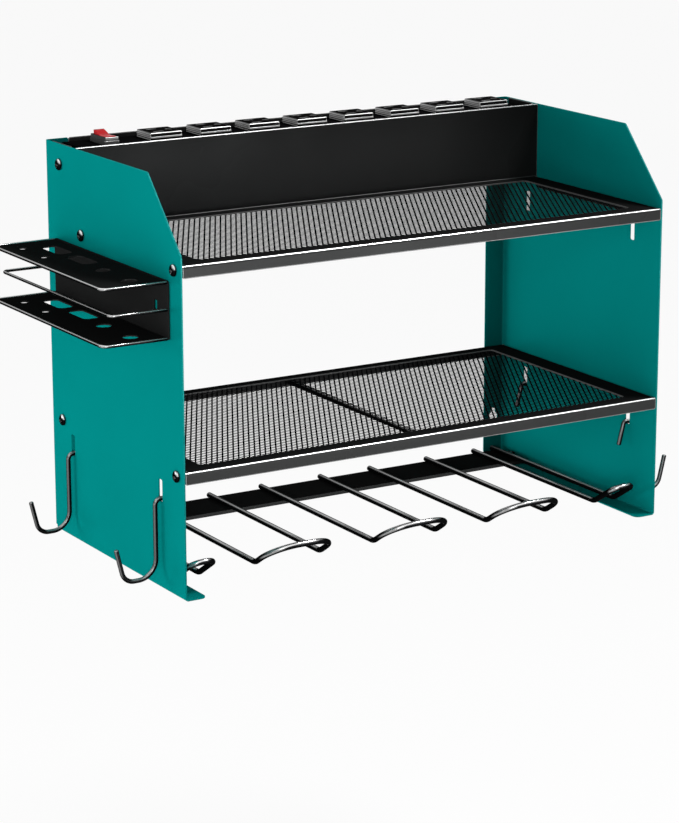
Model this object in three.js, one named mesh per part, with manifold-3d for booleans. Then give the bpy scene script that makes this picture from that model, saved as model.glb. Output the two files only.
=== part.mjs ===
// Wall mounted power tool organizer: bent side panels carry two mesh shelves, a power strip in a trough
// behind the upper shelf, wire loops that drills hang in, loose side hooks and a rack on the left side.
// Millimetres. X runs to the right, Y to the wall and Z up. The heights below count from the panels' feet,
// and the whole is then lowered so that the origin is on the wall plane, between the trough's keyholes.
import * as THREE from "three";
import { mergeVertices } from "three/addons/utils/BufferGeometryUtils.js";
import Module from "manifold-3d";

// Overall
const width = 430;
const depth = 220.6;
const height = 313;
const sheet = 1.2;
const bendRadius = 1.2;
const cornerRelief = 3.6;
const seatGap = 0.3;
const overrun = 5;

// Side panels
const chamferRun = 50.4;
const chamferRise = 54.3;
const panelCorner = 3;
const backFlange = 19.1;
const footFlange = 18.1;
const footCorner = 5;
const slotWidth = 5.8;
const slotLength = 17;
const slotCorner = 1.4;
const frontSlotInset = 37.6;
const rearSlotInset = 36.6;
const lowSlotDrop = 30.4;
const highSlotDrop = 31.8;
const keyholeHead = 9;
const keyholeNeck = 4.6;
const keyholeRise = 8;
const lowKeyholeZ = 34;
const highKeyholeDrop = 51;

// Shelves
const lowerShelfTop = 98.4;
const upperShelfDrop = 60.7;
const lip = 9.6;
const frontMargin = 14.4;
const sideMargin = 20;
const rearMargin = 12;
const windowCorner = 4;
const netThickness = 1.5;
const netLap = 4.5;
const netPitch = 21.5;
const netRow = 19.5;
const strandShare = 0.26;
const shelfRodDiameter = 5;

// Trough and its channel
const troughDepth = 49.6;
const channelFloorDrop = 34.6;
const channelFrontRise = 12;
const channelTabInset = 5;
const wallKeyholeDrop = 19;
const wallKeyholeSpan = 240;

// Power strip
const stripRoomLeft = 13.5;
const stripRoomRight = 16.5;
const stripDepth = 41;
const stripHeight = 32;
const stripWall = 2;
const stripWallGap = 4;
const stripCorner = 1.5;
const capThickness = 2.4;
const outletCount = 8;
const firstOutletInset = 71.6;
const lastOutletInset = 18.9;
const outletWidth = 27.6;
const outletDepth = 26.4;
const outletRise = 5.8;
const tierRise = 2.9;
const tierInset = 1.3;
const outletCorner = 2;
const outletShoulder = 1.8;
const bladeLength = 8;
const bladeWidth = 2.2;
const bladeSpacing = 12.7;
const earthDiameter = 5;
const earthOffset = 11.9;
const bladeDepth = 17;
const busWidth = 5;
const busThickness = 1;
const busSpacing = 8.5;
const inletDiameter = 13;
const inletBore = 7.5;
const inletLength = 8;
const inletFlange = 1.6;

// Switch
const switchInset = 24.1;
const switchWidth = 12.5;
const switchTierInset = 0.4;
const rockerWidth = 9.2;
const rockerLength = 22;
const rockerTop = 4.7;
const rockerDip = 1.6;
const rockerKeel = 5;
const rockerPivotDrop = 3;
const rockerPinDiameter = 2.4;
const rockerPinReach = 0.9;
const rockerTilt = 8;
const rockerClearance = 0.35;

// Drill loops and their bar
const loopWire = 4.5;
const bayWidth = 48.8;
const fullLoopCount = 3;
const halfLoopWidth = 19.6;
const halfLoopRoom = 11.1;
const loopCornerShare = 0.40350877;
const halfLoopCornerShare = 0.4744898;
const loopBendInset = 38.6;
const loopSlope = 33;
const loopTilt = 32.6;
const loopBend = 12;
const loopBarDepth = 40;
const loopBarThickness = 3;
const barScrewHead = 7;

// Hooks
const hookWire = 3.6;
const hookOffset = 4.6;
const hookTailReach = 9.4;
const hookTailDrop = 19;
const hookDrop = 58.4;
const hookReach = 26.6;
const hookTipLean = 6.5;
const hookTipRise = 26.5;
const hookBend = 4.6;
const hookFrontBend = 10;
const hookShankBend = 15;

// Side rack
const rackReach = 55;
const rackFrontInset = 17.6;
const rackRearInset = 15;
const rackTopRise = 16.7;
const rackMiddleDrop = 3.5;
const rackBottomDrop = 25;
const rackWire = 2.4;
const rackCorner = 6;
const rackMiddleInset = 7;
const driverHole = 12;
const driverHoleOutShare = 0.4;
const driverHoleShares = [0.1, 0.33];
const gripSlotWidth = 13;
const gripSlotLength = 32;
const gripSlotShares = [0.55, 0.78];
const bitHole = 7;
const bitHoleShares = [0.68, 0.88];
const bitHoleOutShare = 0.7;
const tongueWidth = 4.4;
const tongueDrop = 6;
const tongueBend = 0.5;

// Screws
const screwShank = 4;
const screwHead = 9;
const screwDome = 2.6;
const screwRim = 0.8;
const screwLength = 6;
const frontScrewInset = 10.6;
const rearScrewInset = 20;
const channelScrewDrop = 16;

// Roundness of what is turned or bent
const arcStep = THREE.MathUtils.degToRad(30);
const wireArcStep = THREE.MathUtils.degToRad(22.5);
const wireSides = 8;
const thinWireSides = 6;
const turnedSides = 10;

// Places worked out from the sizes above
const panelOut = width / 2;
const panelIn = panelOut - sheet;
const shelfEnd = panelIn - seatGap;
const bendOuter = bendRadius + sheet;
const behindFlange = -(bendOuter + seatGap);
const upperShelfTop = height - upperShelfDrop;
const lowSlotBottom = lowerShelfTop - lowSlotDrop;
const highSlotBottom = upperShelfTop - highSlotDrop;
const channelFloor = height - channelFloorDrop;
const stripBottom = channelFloor + seatGap;
const stripTop = stripBottom + stripHeight;
const stripFront = -(stripWallGap + stripDepth);
const stripMiddle = -(stripWallGap + stripDepth / 2);
const stripLeft = -shelfEnd + stripRoomLeft;
const stripRight = shelfEnd - stripRoomRight;
const firstOutletX = stripLeft + firstOutletInset;
const outletPitch = (stripRight - lastOutletInset - firstOutletX) / (outletCount - 1);
const switchX = stripLeft + switchInset;
const outletTop = stripTop + outletRise;
const busTop = stripBottom + stripWall + seatGap + busThickness;
const loopZ = sheet + loopBarThickness + 2 * seatGap + loopWire / 2;
const halfLoopInnerX = panelIn - halfLoopRoom - halfLoopWidth;
const loopWidth = (2 * halfLoopInnerX - (fullLoopCount + 1) * bayWidth) / fullLoopCount;
const loopPitch = loopWidth + bayWidth;
const wallKeyholeZ = height - wallKeyholeDrop;
const hookBottomZ = lowSlotBottom - hookDrop;
const rackTopZ = highSlotBottom + rackTopRise;
const rackMiddleZ = highSlotBottom - rackMiddleDrop;
const rackBottomZ = highSlotBottom - rackBottomDrop;

// Materials
const paint = (color, roughness, metalness) =>
  new THREE.MeshStandardMaterial({ color, roughness, metalness });
const materials = {
  teal: paint(0x06908c, 0.38, 0.1),
  blackSheet: paint(0x3c3c3e, 0.45, 0.2),
  net: paint(0x1c1d1e, 0.5, 0.2),
  wire: paint(0x141416, 0.22, 0.3),
  stripPlastic: paint(0x1d1d1f, 0.4, 0),
  outletPlastic: paint(0x121213, 0.35, 0),
  red: paint(0xbe141e, 0.3, 0),
  brass: paint(0xc79a4b, 0.35, 1),
  screw: paint(0x17181a, 0.3, 0.4),
};

// Solids: closed geometries that can be joined and cut

const wasm = await Module();
wasm.setup();

function solid(geometry) {
  const bare = geometry.clone();
  bare.deleteAttribute("normal");
  bare.deleteAttribute("uv");
  const merged = mergeVertices(bare);
  const vertProperties = merged.attributes.position.array;
  const triVerts = new Uint32Array(merged.index.array);
  return new wasm.Manifold(new wasm.Mesh({ numProp: 3, vertProperties, triVerts }));
}

const join = (...shapes) => shapes.reduce((all, one) => all.add(one));

const cut = (body, ...tools) => tools.reduce((left, tool) => left.subtract(tool), body);

function mesh(name, body, material) {
  const { vertProperties, triVerts } = body.getMesh();
  const geometry = new THREE.BufferGeometry();
  geometry.setAttribute("position", new THREE.BufferAttribute(vertProperties, 3));
  geometry.setIndex(new THREE.BufferAttribute(triVerts, 1));
  geometry.computeVertexNormals();
  const made = new THREE.Mesh(geometry, material);
  made.name = name;
  return made;
}

function mirrored(name, original) {
  const copy = original.clone();
  copy.name = name;
  copy.scale.x = -1;
  return copy;
}

// Outlines and paths

const point = (x, y, z = 0) => new THREE.Vector3(x, y, z);

// The stations along a run of points whose corners are bent to arcs, each with its direction.
function bentPath(points, radius, { closed = false, step = arcStep } = {}) {
  const count = points.length;
  return points.flatMap((corner, i) => {
    const before = points[(i + count - 1) % count];
    const after = points[(i + 1) % count];
    const arriving = corner.clone().sub(before).normalize();
    const leaving = after.clone().sub(corner).normalize();
    if (!closed && i === 0) return [{ at: corner, along: leaving }];
    if (!closed && i === count - 1) return [{ at: corner, along: arriving }];
    const bend = Array.isArray(radius) ? radius[i] : radius;
    if (!bend) return [{ at: corner, along: leaving }];
    return cornerArc(corner, arriving, leaving, bend, step);
  });
}

function cornerArc(corner, arriving, leaving, bend, step) {
  const turn = arriving.angleTo(leaving);
  const run = bend * Math.tan(turn / 2);
  const start = corner.clone().addScaledVector(arriving, -run);
  const inward = leaving.clone().addScaledVector(arriving, -Math.cos(turn)).normalize();
  const steps = Math.ceil(turn / step - 1e-6);
  return Array.from({ length: steps + 1 }, (_, k) => {
    const angle = (turn * k) / steps;
    const at = start.clone();
    at.addScaledVector(arriving, bend * Math.sin(angle));
    at.addScaledVector(inward, bend * (1 - Math.cos(angle)));
    const along = arriving.clone().multiplyScalar(Math.cos(angle)).addScaledVector(inward, Math.sin(angle));
    return { at, along };
  });
}

const shapeOf = (points) => new THREE.Shape(points.map((p) => new THREE.Vector2(p.x, p.y)));

const outline = (points, radius) => {
  const stations = bentPath(points, radius, { closed: true });
  return shapeOf(stations.map((station) => station.at));
};

const rectangle = ([x0, x1], [y0, y1], radius = 0) =>
  outline([point(x0, y0), point(x1, y0), point(x1, y1), point(x0, y1)], radius);

const about = (middle, size) => [middle - size / 2, middle + size / 2];

function disc(x, y, diameter, sides = turnedSides) {
  const corner = (_, k) => {
    const angle = (2 * Math.PI * (k + 0.5)) / sides;
    return point(x + (diameter / 2) * Math.cos(angle), y + (diameter / 2) * Math.sin(angle));
  };
  return shapeOf(Array.from({ length: sides }, corner));
}

// The section of a folded sheet whose middle line runs through the points.
function foldedSheet(points, radius = bendRadius) {
  const middle = bentPath(points, radius + sheet / 2);
  const side = (offset) =>
    middle.map(({ at, along }) => point(at.x - along.y * offset, at.y + along.x * offset));
  return shapeOf([...side(sheet / 2), ...side(-sheet / 2).reverse()]);
}

// Extrusions: a shape drawn in the two other axes, in X, Y, Z order, is drawn out along one axis

function extruded(shape, [from, to], place) {
  const geometry = new THREE.ExtrudeGeometry(shape, { depth: to - from, bevelEnabled: false });
  return solid(geometry.applyMatrix4(place));
}

const alongX = (shape, span) =>
  extruded(shape, span, new THREE.Matrix4().set(0, 0, 1, span[0], 1, 0, 0, 0, 0, 1, 0, 0, 0, 0, 0, 1));

const alongY = (shape, span) =>
  extruded(shape, span, new THREE.Matrix4().set(1, 0, 0, 0, 0, 0, -1, span[1], 0, 1, 0, 0, 0, 0, 0, 1));

const alongZ = (shape, span) => extruded(shape, span, new THREE.Matrix4().makeTranslation(0, 0, span[0]));

const box = (x, y, z) => alongZ(rectangle(x, y), z);

// A wire: a round section drawn along stations that bunch up in the bends.
class WirePath extends THREE.Curve {
  constructor(stations) {
    super();
    this.stations = stations;
  }

  station(share) {
    return this.stations[Math.round(share * (this.stations.length - 1))];
  }

  getPointAt(share) {
    return this.station(share).at.clone();
  }

  getTangentAt(share) {
    return this.station(share).along.clone();
  }
}

function wire(points, diameter, bends, sides = wireSides) {
  const path = new WirePath(bentPath(points, bends, { step: wireArcStep }));
  const steps = path.stations.length - 1;
  return solid(new THREE.ExtrudeGeometry(disc(0, 0, diameter, sides), { steps, extrudePath: path }));
}

// Side panels

function panelPlate() {
  const front = -depth;
  const corners = [
    point(front, bendOuter),
    point(-bendOuter, bendOuter),
    point(-bendOuter, height),
    point(front + chamferRun, height),
    point(front, height - chamferRise),
  ];
  const radii = [0, 0, 0, panelCorner, panelCorner];
  const across = [panelIn - overrun, panelOut + overrun];
  const notch = box(across, [-cornerRelief, overrun], [-overrun, cornerRelief]);
  return cut(alongX(outline(corners, radii), [panelIn, panelOut]), notch);
}

function panelBackFlange() {
  const middle = panelOut - sheet / 2;
  const turn = [
    point(middle, -2 * bendOuter),
    point(middle, -sheet / 2),
    point(panelOut - backFlange, -sheet / 2),
  ];
  return alongZ(foldedSheet(turn), [cornerRelief, height]);
}

function panelFootFlange() {
  const middle = panelOut - sheet / 2;
  const turn = [
    point(middle, 2 * bendOuter),
    point(middle, sheet / 2),
    point(panelOut - footFlange, sheet / 2),
  ];
  const flange = alongY(foldedSheet(turn), [-depth, -cornerRelief]);
  const trim = [
    point(panelOut - footFlange, -depth),
    point(panelOut + overrun, -depth),
    point(panelOut + overrun, overrun),
    point(panelOut - footFlange, overrun),
  ];
  return flange.intersect(alongZ(outline(trim, [footCorner, 0, 0, 0]), [-overrun, 3 * bendOuter]));
}

const slotRows = { front: -depth + frontSlotInset, rear: -rearSlotInset };
const slotPlaces = Object.values(slotRows).flatMap((y) => [
  { y, z: lowSlotBottom },
  { y, z: highSlotBottom },
]);

const throughPanel = [panelIn - overrun, panelOut + overrun];

const panelSlot = ({ y, z }) =>
  alongX(rectangle(about(y, slotWidth), [z, z + slotLength], slotCorner), throughPanel);

// A keyhole for a wall screw: its head goes in below and the shank slides up into the neck.
function keyhole(x, z) {
  const through = [-sheet - overrun, overrun];
  const head = alongY(disc(x, z, keyholeHead), through);
  const neck = alongY(rectangle(about(x, keyholeNeck), [z, z + keyholeRise], keyholeNeck / 3), through);
  return join(head, neck);
}

const shelfScrewPlaces = [
  { name: "lower_front", y: -depth + frontScrewInset, z: lowerShelfTop - lip / 2 },
  { name: "lower_rear", y: -rearScrewInset, z: lowerShelfTop - lip / 2 },
  { name: "upper_front", y: -depth + frontScrewInset, z: upperShelfTop - lip / 2 },
  { name: "upper_rear", y: -(troughDepth + frontScrewInset), z: upperShelfTop - lip / 2 },
];
const channelScrewPlace = { name: "channel", y: stripMiddle, z: height - channelScrewDrop };
const screwPlaces = [...shelfScrewPlaces, channelScrewPlace];

const screwHole = ({ y, z }, span) => alongX(disc(y, z, screwShank + 2 * seatGap), span);

function sidePanel() {
  const keyholeX = panelOut - backFlange / 2;
  const keyholes = [lowKeyholeZ, height - highKeyholeDrop].map((z) => keyhole(keyholeX, z));
  const holes = screwPlaces.map((place) => screwHole(place, throughPanel));
  const sheetMetal = join(panelPlate(), panelBackFlange(), panelFootFlange());
  return cut(sheetMetal, ...slotPlaces.map(panelSlot), ...keyholes, ...holes, barScrewHole(barScrewX));
}

// Shelves: trays with their flanges turned down and a window that a net closes

function trayEnds(top, front, rear) {
  const middle = top - sheet / 2;
  const flangeAt = (side) => [
    point(side * (shelfEnd - 2 * bendOuter), middle),
    point(side * (shelfEnd - sheet / 2), middle),
    point(side * (shelfEnd - sheet / 2), top - lip),
  ];
  const run = [front + cornerRelief, rear - cornerRelief];
  return [1, -1].map((side) => alongY(foldedSheet(flangeAt(side)), run));
}

function tray(section, top, front, rear) {
  const alongEnds = [front + cornerRelief, rear - cornerRelief];
  const ends = [1, -1].map((side) => {
    const x = [side * (shelfEnd - bendOuter), side * (shelfEnd + overrun)].sort((a, b) => a - b);
    return box(x, alongEnds, [top - lip - overrun, top + overrun]);
  });
  const body = cut(alongX(section, [-shelfEnd, shelfEnd]), ...ends);
  return join(body, ...trayEnds(top, front, rear));
}

const windowSpans = (rear) => ({
  x: [-(shelfEnd - sideMargin), shelfEnd - sideMargin],
  y: [-depth + frontMargin, rear - rearMargin],
});

function shelfWindow(top, rear) {
  const { x, y } = windowSpans(rear);
  return alongZ(rectangle(x, y, windowCorner), [top - lip, top + overrun]);
}

function endScrewHoles(prefix) {
  const places = shelfScrewPlaces.filter((place) => place.name.startsWith(prefix));
  const spans = [
    [shelfEnd - sheet - overrun, shelfEnd + overrun],
    [-shelfEnd - overrun, -shelfEnd + sheet + overrun],
  ];
  return places.flatMap((place) => spans.map((span) => screwHole(place, span)));
}

function lowerShelf() {
  const top = lowerShelfTop;
  const middle = top - sheet / 2;
  const front = -depth + sheet / 2;
  const rear = behindFlange - sheet / 2;
  const section = [
    point(front, top - lip),
    point(front, middle),
    point(rear, middle),
    point(rear, top - lip),
  ];
  const body = tray(foldedSheet(section), top, -depth, behindFlange);
  return cut(body, shelfWindow(top, behindFlange), ...endScrewHoles("lower"));
}

// The upper shelf's sheet turns up behind the net and is the front wall of the trough.
function upperShelf() {
  const top = upperShelfTop;
  const middle = top - sheet / 2;
  const front = -depth + sheet / 2;
  const rear = -troughDepth + sheet / 2;
  const section = [point(front, top - lip), point(front, middle), point(rear, middle), point(rear, height)];
  const body = tray(foldedSheet(section), top, -depth, -troughDepth);
  return cut(body, shelfWindow(top, -troughDepth), ...endScrewHoles("upper"));
}

// Nets: flat sheets with staggered diamonds, welded under the trays' windows

function diamonds({ x, y }) {
  const columns = Math.round((x[1] - x[0]) / netPitch);
  const rows = Math.round((y[1] - y[0]) / netRow) - 1;
  const pitch = (x[1] - x[0]) / columns;
  const rowPitch = (y[1] - y[0]) / (rows + 1);
  const halfWidth = (pitch / 2) * (1 - strandShare);
  const halfLength = rowPitch * (1 - strandShare);
  const diamond = (cx, cy) => [
    point(cx - halfWidth, cy),
    point(cx, cy - halfLength),
    point(cx + halfWidth, cy),
    point(cx, cy + halfLength),
  ];
  return Array.from({ length: rows }, (_, row) => {
    const staggered = row % 2;
    const first = x[0] + (pitch / 2) * (1 + staggered);
    const inRow = Array.from({ length: columns - staggered }, (_, column) => first + column * pitch);
    return inRow.map((cx) => diamond(cx, y[0] + rowPitch * (row + 1)));
  }).flat();
}

function net(shelfTop, rear) {
  const spans = windowSpans(rear);
  const wider = ([low, high]) => [low - netLap, high + netLap];
  const flat = rectangle(wider(spans.x), wider(spans.y));
  flat.holes = diamonds(spans).map(shapeOf);
  const top = shelfTop - sheet;
  return alongZ(flat, [top - netThickness, top]);
}

// The rod under the lower net, from the tray's front flange to its rear one.
function shelfRod() {
  const z = lowerShelfTop - sheet - netThickness - seatGap - shelfRodDiameter / 2;
  const front = -depth + sheet + seatGap;
  const rear = behindFlange - sheet - seatGap;
  return wire([point(0, front, z), point(0, rear, z)], shelfRodDiameter, 0);
}

// The channel that the power strip lies in

function channelEndTab(side, run) {
  const floor = channelFloor - sheet / 2;
  const turn = [
    point(side * (shelfEnd - 2 * bendOuter), floor),
    point(side * (shelfEnd - sheet / 2), floor),
    point(side * (shelfEnd - sheet / 2), height),
  ];
  return alongY(foldedSheet(turn), run);
}

function powerChannel() {
  const floor = channelFloor - sheet / 2;
  const wall = -sheet / 2;
  const front = -(troughDepth - sheet - seatGap) + sheet / 2;
  const section = [
    point(wall, height),
    point(wall, floor),
    point(front, floor),
    point(front, channelFloor + channelFrontRise),
  ];
  const tabRun = [front + channelTabInset, behindFlange - channelTabInset];
  const pastTabs = [channelFloor - 2 * sheet, height + overrun];
  const wallEnd = panelOut - backFlange - seatGap;
  const trims = [1, -1].flatMap((side) => {
    const sorted = (a, b) => [side * a, side * b].sort((low, high) => low - high);
    return [
      box(sorted(wallEnd, shelfEnd + overrun), [behindFlange, overrun], pastTabs),
      box(sorted(shelfEnd - bendOuter, shelfEnd + overrun), tabRun, pastTabs),
    ];
  });
  const tabs = [1, -1].map((side) => channelEndTab(side, tabRun));
  const keyholes = [1, -1].map((side) => keyhole((side * wallKeyholeSpan) / 2, wallKeyholeZ));
  const screwHoles = screwHole(channelScrewPlace, [-panelOut, panelOut]);
  const body = cut(alongX(foldedSheet(section), [-shelfEnd, shelfEnd]), ...trims);
  return cut(join(body, ...tabs), ...keyholes, screwHoles);
}

// Power strip

const stripSpan = [stripLeft, stripRight];
const stripSplit = stripBottom + stripHeight / 2;

function stripShell(low, high, closedBelow) {
  const y = [stripFront, -stripWallGap];
  const outer = alongX(rectangle(y, [stripBottom, stripTop], stripCorner), stripSpan);
  const hollow = alongX(
    rectangle(
      [y[0] + stripWall, y[1] - stripWall],
      [stripBottom + stripWall, stripTop - stripWall],
      stripWall / 3,
    ),
    [stripLeft - overrun, stripRight + overrun],
  );
  const past = [stripLeft - overrun, stripRight + overrun];
  const aside = [stripFront - overrun, overrun];
  const other = closedBelow ? [high, stripTop + overrun] : [stripBottom - overrun, low];
  return cut(outer, hollow, box(past, aside, other));
}

const stripBase = () => stripShell(stripBottom, stripSplit - seatGap / 2, true);

const outletPlaces = Array.from({ length: outletCount }, (_, i) => firstOutletX + i * outletPitch);

function stripCover() {
  const shell = stripShell(stripSplit + seatGap / 2, stripTop, false);
  const through = [stripTop - stripWall - overrun, stripTop + overrun];
  const opening = (x, wide) =>
    alongZ(
      rectangle(about(x, wide + 2 * seatGap), about(stripMiddle, outletDepth + 2 * seatGap), outletCorner),
      through,
    );
  return cut(shell, ...outletPlaces.map((x) => opening(x, outletWidth)), opening(switchX, switchWidth));
}

// An end cap: a plate over the end and a plug inside the shells. The hole takes the cord's bush.
function stripCap(holeDiameter) {
  const inside = stripWall + seatGap;
  const x = stripRight + seatGap;
  const plate = alongX(
    rectangle([stripFront, -stripWallGap], [stripBottom, stripTop], stripCorner),
    [x, x + capThickness],
  );
  const plug = alongX(
    rectangle(
      [stripFront + inside, -stripWallGap - inside],
      [stripBottom + inside, stripTop - inside],
      stripCorner,
    ),
    [x - capThickness, x],
  );
  const hollow = alongX(
    rectangle(
      [stripFront + inside + stripWall, -stripWallGap - inside - stripWall],
      [stripBottom + inside + stripWall, stripTop - inside - stripWall],
    ),
    [x - capThickness - overrun, x],
  );
  const cap = cut(join(plate, plug), hollow);
  if (!holeDiameter) return cap;
  const span = [x - overrun, x + capThickness + overrun];
  return cut(cap, alongX(disc(stripMiddle, stripSplit, holeDiameter), span));
}

// The cord's bush: a flanged ring in the right-hand cap, turned about X.
function cordInlet() {
  const cap = stripRight + seatGap;
  const outer = inletDiameter / 2;
  const bore = inletBore / 2;
  const start = cap - inletFlange - seatGap;
  const profile = [
    [bore, start],
    [outer + inletFlange, start],
    [outer + inletFlange, cap - seatGap],
    [outer, cap - seatGap],
    [outer, start + inletLength],
    [bore, start + inletLength],
    [bore, start],
  ].map(([radius, along]) => new THREE.Vector2(radius, along));
  const ring = new THREE.LatheGeometry(profile, turnedSides).rotateZ(-Math.PI / 2);
  return solid(ring.translate(0, stripMiddle, stripSplit));
}

function busBar(index) {
  const y = stripMiddle + (index - 1) * busSpacing;
  const x = [switchX, outletPlaces[outletCount - 1] + outletWidth / 2];
  return box(x, about(y, busWidth), [busTop - busThickness, busTop]);
}

// A module that stands through the cover: a wide body held under it, a neck and a narrower top tier.
function stripModule(x, wide, inset) {
  const tier = (w, d, span) => alongZ(rectangle(about(x, w), about(stripMiddle, d), outletCorner), span);
  const under = stripTop - stripWall - seatGap;
  const bodyDepth = outletDepth + 2 * outletShoulder;
  const body = tier(wide + 2 * outletShoulder, bodyDepth, [busTop + seatGap, under]);
  const neck = tier(wide, outletDepth, [under - overrun, outletTop - tierRise]);
  const topSpan = [outletTop - tierRise - overrun, outletTop];
  const top = tier(wide - 2 * inset, outletDepth - 2 * tierInset, topSpan);
  return join(body, neck, top);
}

function outlet(x) {
  const span = [outletTop - bladeDepth, outletTop + overrun];
  const bladeX = x - earthOffset / 3;
  const blades = [1, -1].map((side) => {
    const y = stripMiddle + (side * bladeSpacing) / 2;
    return box(about(bladeX, bladeLength), about(y, bladeWidth), span);
  });
  const earth = alongZ(disc(bladeX + earthOffset, stripMiddle, earthDiameter), span);
  return cut(stripModule(x, outletWidth, tierInset), ...blades, earth);
}

// Switch: a rocker on two pins in its own module

const rockerPivotZ = outletTop - rockerPivotDrop;
const rockerHalf = rockerLength / 2;

function switchBlock() {
  const lean = THREE.MathUtils.degToRad(rockerTilt);
  const pocketHalf = rockerHalf * Math.cos(lean) + rockerTop * Math.sin(lean) + rockerClearance;
  const pocketWidth = rockerWidth + 2 * rockerClearance;
  const deep = rockerPivotZ - Math.hypot(rockerKeel, rockerHalf / 2) - 2 * rockerClearance;
  const pocket = box(
    about(switchX, pocketWidth),
    about(stripMiddle, 2 * pocketHalf),
    [deep, outletTop + overrun],
  );
  const pinHole = alongX(
    disc(stripMiddle, rockerPivotZ, rockerPinDiameter + 2 * seatGap),
    about(switchX, switchWidth + 2 * overrun),
  );
  return cut(stripModule(switchX, switchWidth, switchTierInset), pocket, pinHole);
}

// The rocker is drawn level about its pivot and stands tilted to one side.
function rocker() {
  const section = [
    point(-rockerHalf, rockerTop),
    point(-rockerHalf, 0),
    point(-rockerHalf / 2, -rockerKeel),
    point(rockerHalf / 2, -rockerKeel),
    point(rockerHalf, 0),
    point(rockerHalf, rockerTop),
    point(0, rockerTop - rockerDip),
  ];
  const body = alongX(shapeOf(section), about(0, rockerWidth));
  const pins = alongX(disc(0, 0, rockerPinDiameter), about(0, rockerWidth + 2 * rockerPinReach));
  return join(body, pins);
}

// Drill loops: rails that lie on the rear bar and turn up at the front in a rounded end

function loopPoints(x0, x1) {
  const tilt = THREE.MathUtils.degToRad(loopTilt);
  const rear = behindFlange - seatGap;
  const bend = -depth + loopBendInset;
  const tipY = bend - loopSlope * Math.cos(tilt);
  const tipZ = loopZ + loopSlope * Math.sin(tilt);
  return [
    point(x0, rear, loopZ),
    point(x0, bend, loopZ),
    point(x0, tipY, tipZ),
    point(x1, tipY, tipZ),
    point(x1, bend, loopZ),
    point(x1, rear, loopZ),
  ];
}

function drillLoop(middle) {
  const [x0, x1] = about(middle, loopWidth);
  const corner = loopWidth * loopCornerShare;
  return wire(loopPoints(x0, x1), loopWire, [0, loopBend, corner, corner, loopBend, 0]);
}

function halfLoop() {
  const x1 = halfLoopInnerX + halfLoopWidth;
  const corner = halfLoopWidth * halfLoopCornerShare;
  const bends = [0, loopBend, corner, corner, loopBend, 0];
  return wire(loopPoints(halfLoopInnerX, x1), loopWire, bends);
}

const barScrewX = (halfLoopInnerX + halfLoopWidth + loopWire / 2 + panelIn) / 2;
const barScrewY = -(loopBarDepth / 2) + behindFlange;
const barTop = sheet + seatGap + loopBarThickness;

const barScrewHole = (x) =>
  alongZ(disc(x, barScrewY, screwShank + 2 * seatGap), [-overrun, barTop + overrun]);

function loopBar() {
  const end = panelIn - bendRadius - seatGap;
  const plate = box([-end, end], [behindFlange - loopBarDepth, behindFlange], [sheet + seatGap, barTop]);
  return cut(plate, barScrewHole(barScrewX), barScrewHole(-barScrewX));
}

// Hooks: wire bent over the lower edge of a slot, with a tail inside and a J outside

function hook(slotY) {
  const shank = panelOut + hookOffset;
  const top = lowSlotBottom + seatGap + hookWire / 2;
  const inside = shank - 2 * hookBend;
  const run = [
    point(panelOut - hookTailReach, slotY, top - hookTailDrop),
    point(inside, slotY, top),
    point(shank, slotY, top),
    point(shank, slotY, hookBottomZ),
    point(shank + hookReach, slotY, hookBottomZ),
    point(shank + hookReach + hookTipLean, slotY, hookBottomZ + hookTipRise),
  ];
  return wire(run, hookWire, [0, hookBend / 2, hookBend, hookShankBend, hookFrontBend, 0]);
}

// Side rack: a back plate that hangs in the left panel's slots, two plates with holes and three wire hoops

const rackFront = -depth + rackFrontInset;
const rackRear = -rackRearInset;
const rackBackOut = -(panelOut + seatGap + sheet);
const rackOut = -(panelOut + rackReach);
const tongueSeat = highSlotBottom + seatGap + sheet / 2;

// A tongue pressed out of the back plate: it goes in through a panel's slot and hangs over its lower edge.
function rackTongue(slotY) {
  const plate = rackBackOut + sheet / 2;
  const inside = -(panelIn - seatGap - sheet / 2);
  const run = [
    point(plate, tongueSeat + 2 * bendOuter),
    point(plate, tongueSeat),
    point(inside, tongueSeat),
    point(inside, highSlotBottom - tongueDrop),
  ];
  return alongY(foldedSheet(run, tongueBend), about(slotY, tongueWidth));
}

function rackBack() {
  const z = [rackBottomZ - rackWire / 2, rackTopZ + rackWire / 2];
  const plate = alongX(rectangle([rackFront, rackRear], z, rackWire), [rackBackOut, rackBackOut + sheet]);
  const pressedOut = (slotY) =>
    box(
      [rackBackOut - overrun, rackBackOut + sheet + overrun],
      about(slotY, tongueWidth + 2 * seatGap),
      [highSlotBottom - tongueDrop - 2 * seatGap, tongueSeat],
    );
  const slots = Object.values(slotRows);
  return join(cut(plate, ...slots.map(pressedOut)), ...slots.map(rackTongue));
}

const rackShare = (share) => rackFront + share * (rackRear - rackFront);
const rackAcross = (share) => rackBackOut + share * (rackOut - rackBackOut);

function rackHoles() {
  const driverX = rackAcross(driverHoleOutShare);
  const drivers = driverHoleShares.map((share) => disc(driverX, rackShare(share), driverHole));
  const grips = gripSlotShares.map((share) =>
    rectangle(
      about(rackAcross(1 / 3), gripSlotWidth),
      about(rackShare(share), gripSlotLength),
      gripSlotWidth / 3,
    ),
  );
  const bits = bitHoleShares.map((share) => disc(rackAcross(bitHoleOutShare), rackShare(share), bitHole));
  return [...drivers, ...grips, ...bits];
}

function rackPlate(z) {
  const edge = rackWire + seatGap;
  const corner = rackCorner - rackWire / 2 - seatGap;
  const flat = rectangle(
    [rackOut + edge, rackBackOut - seatGap],
    [rackFront + edge, rackRear - edge],
    [corner, 0, 0, corner],
  );
  flat.holes = rackHoles();
  return alongZ(flat, about(z, sheet));
}

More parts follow.
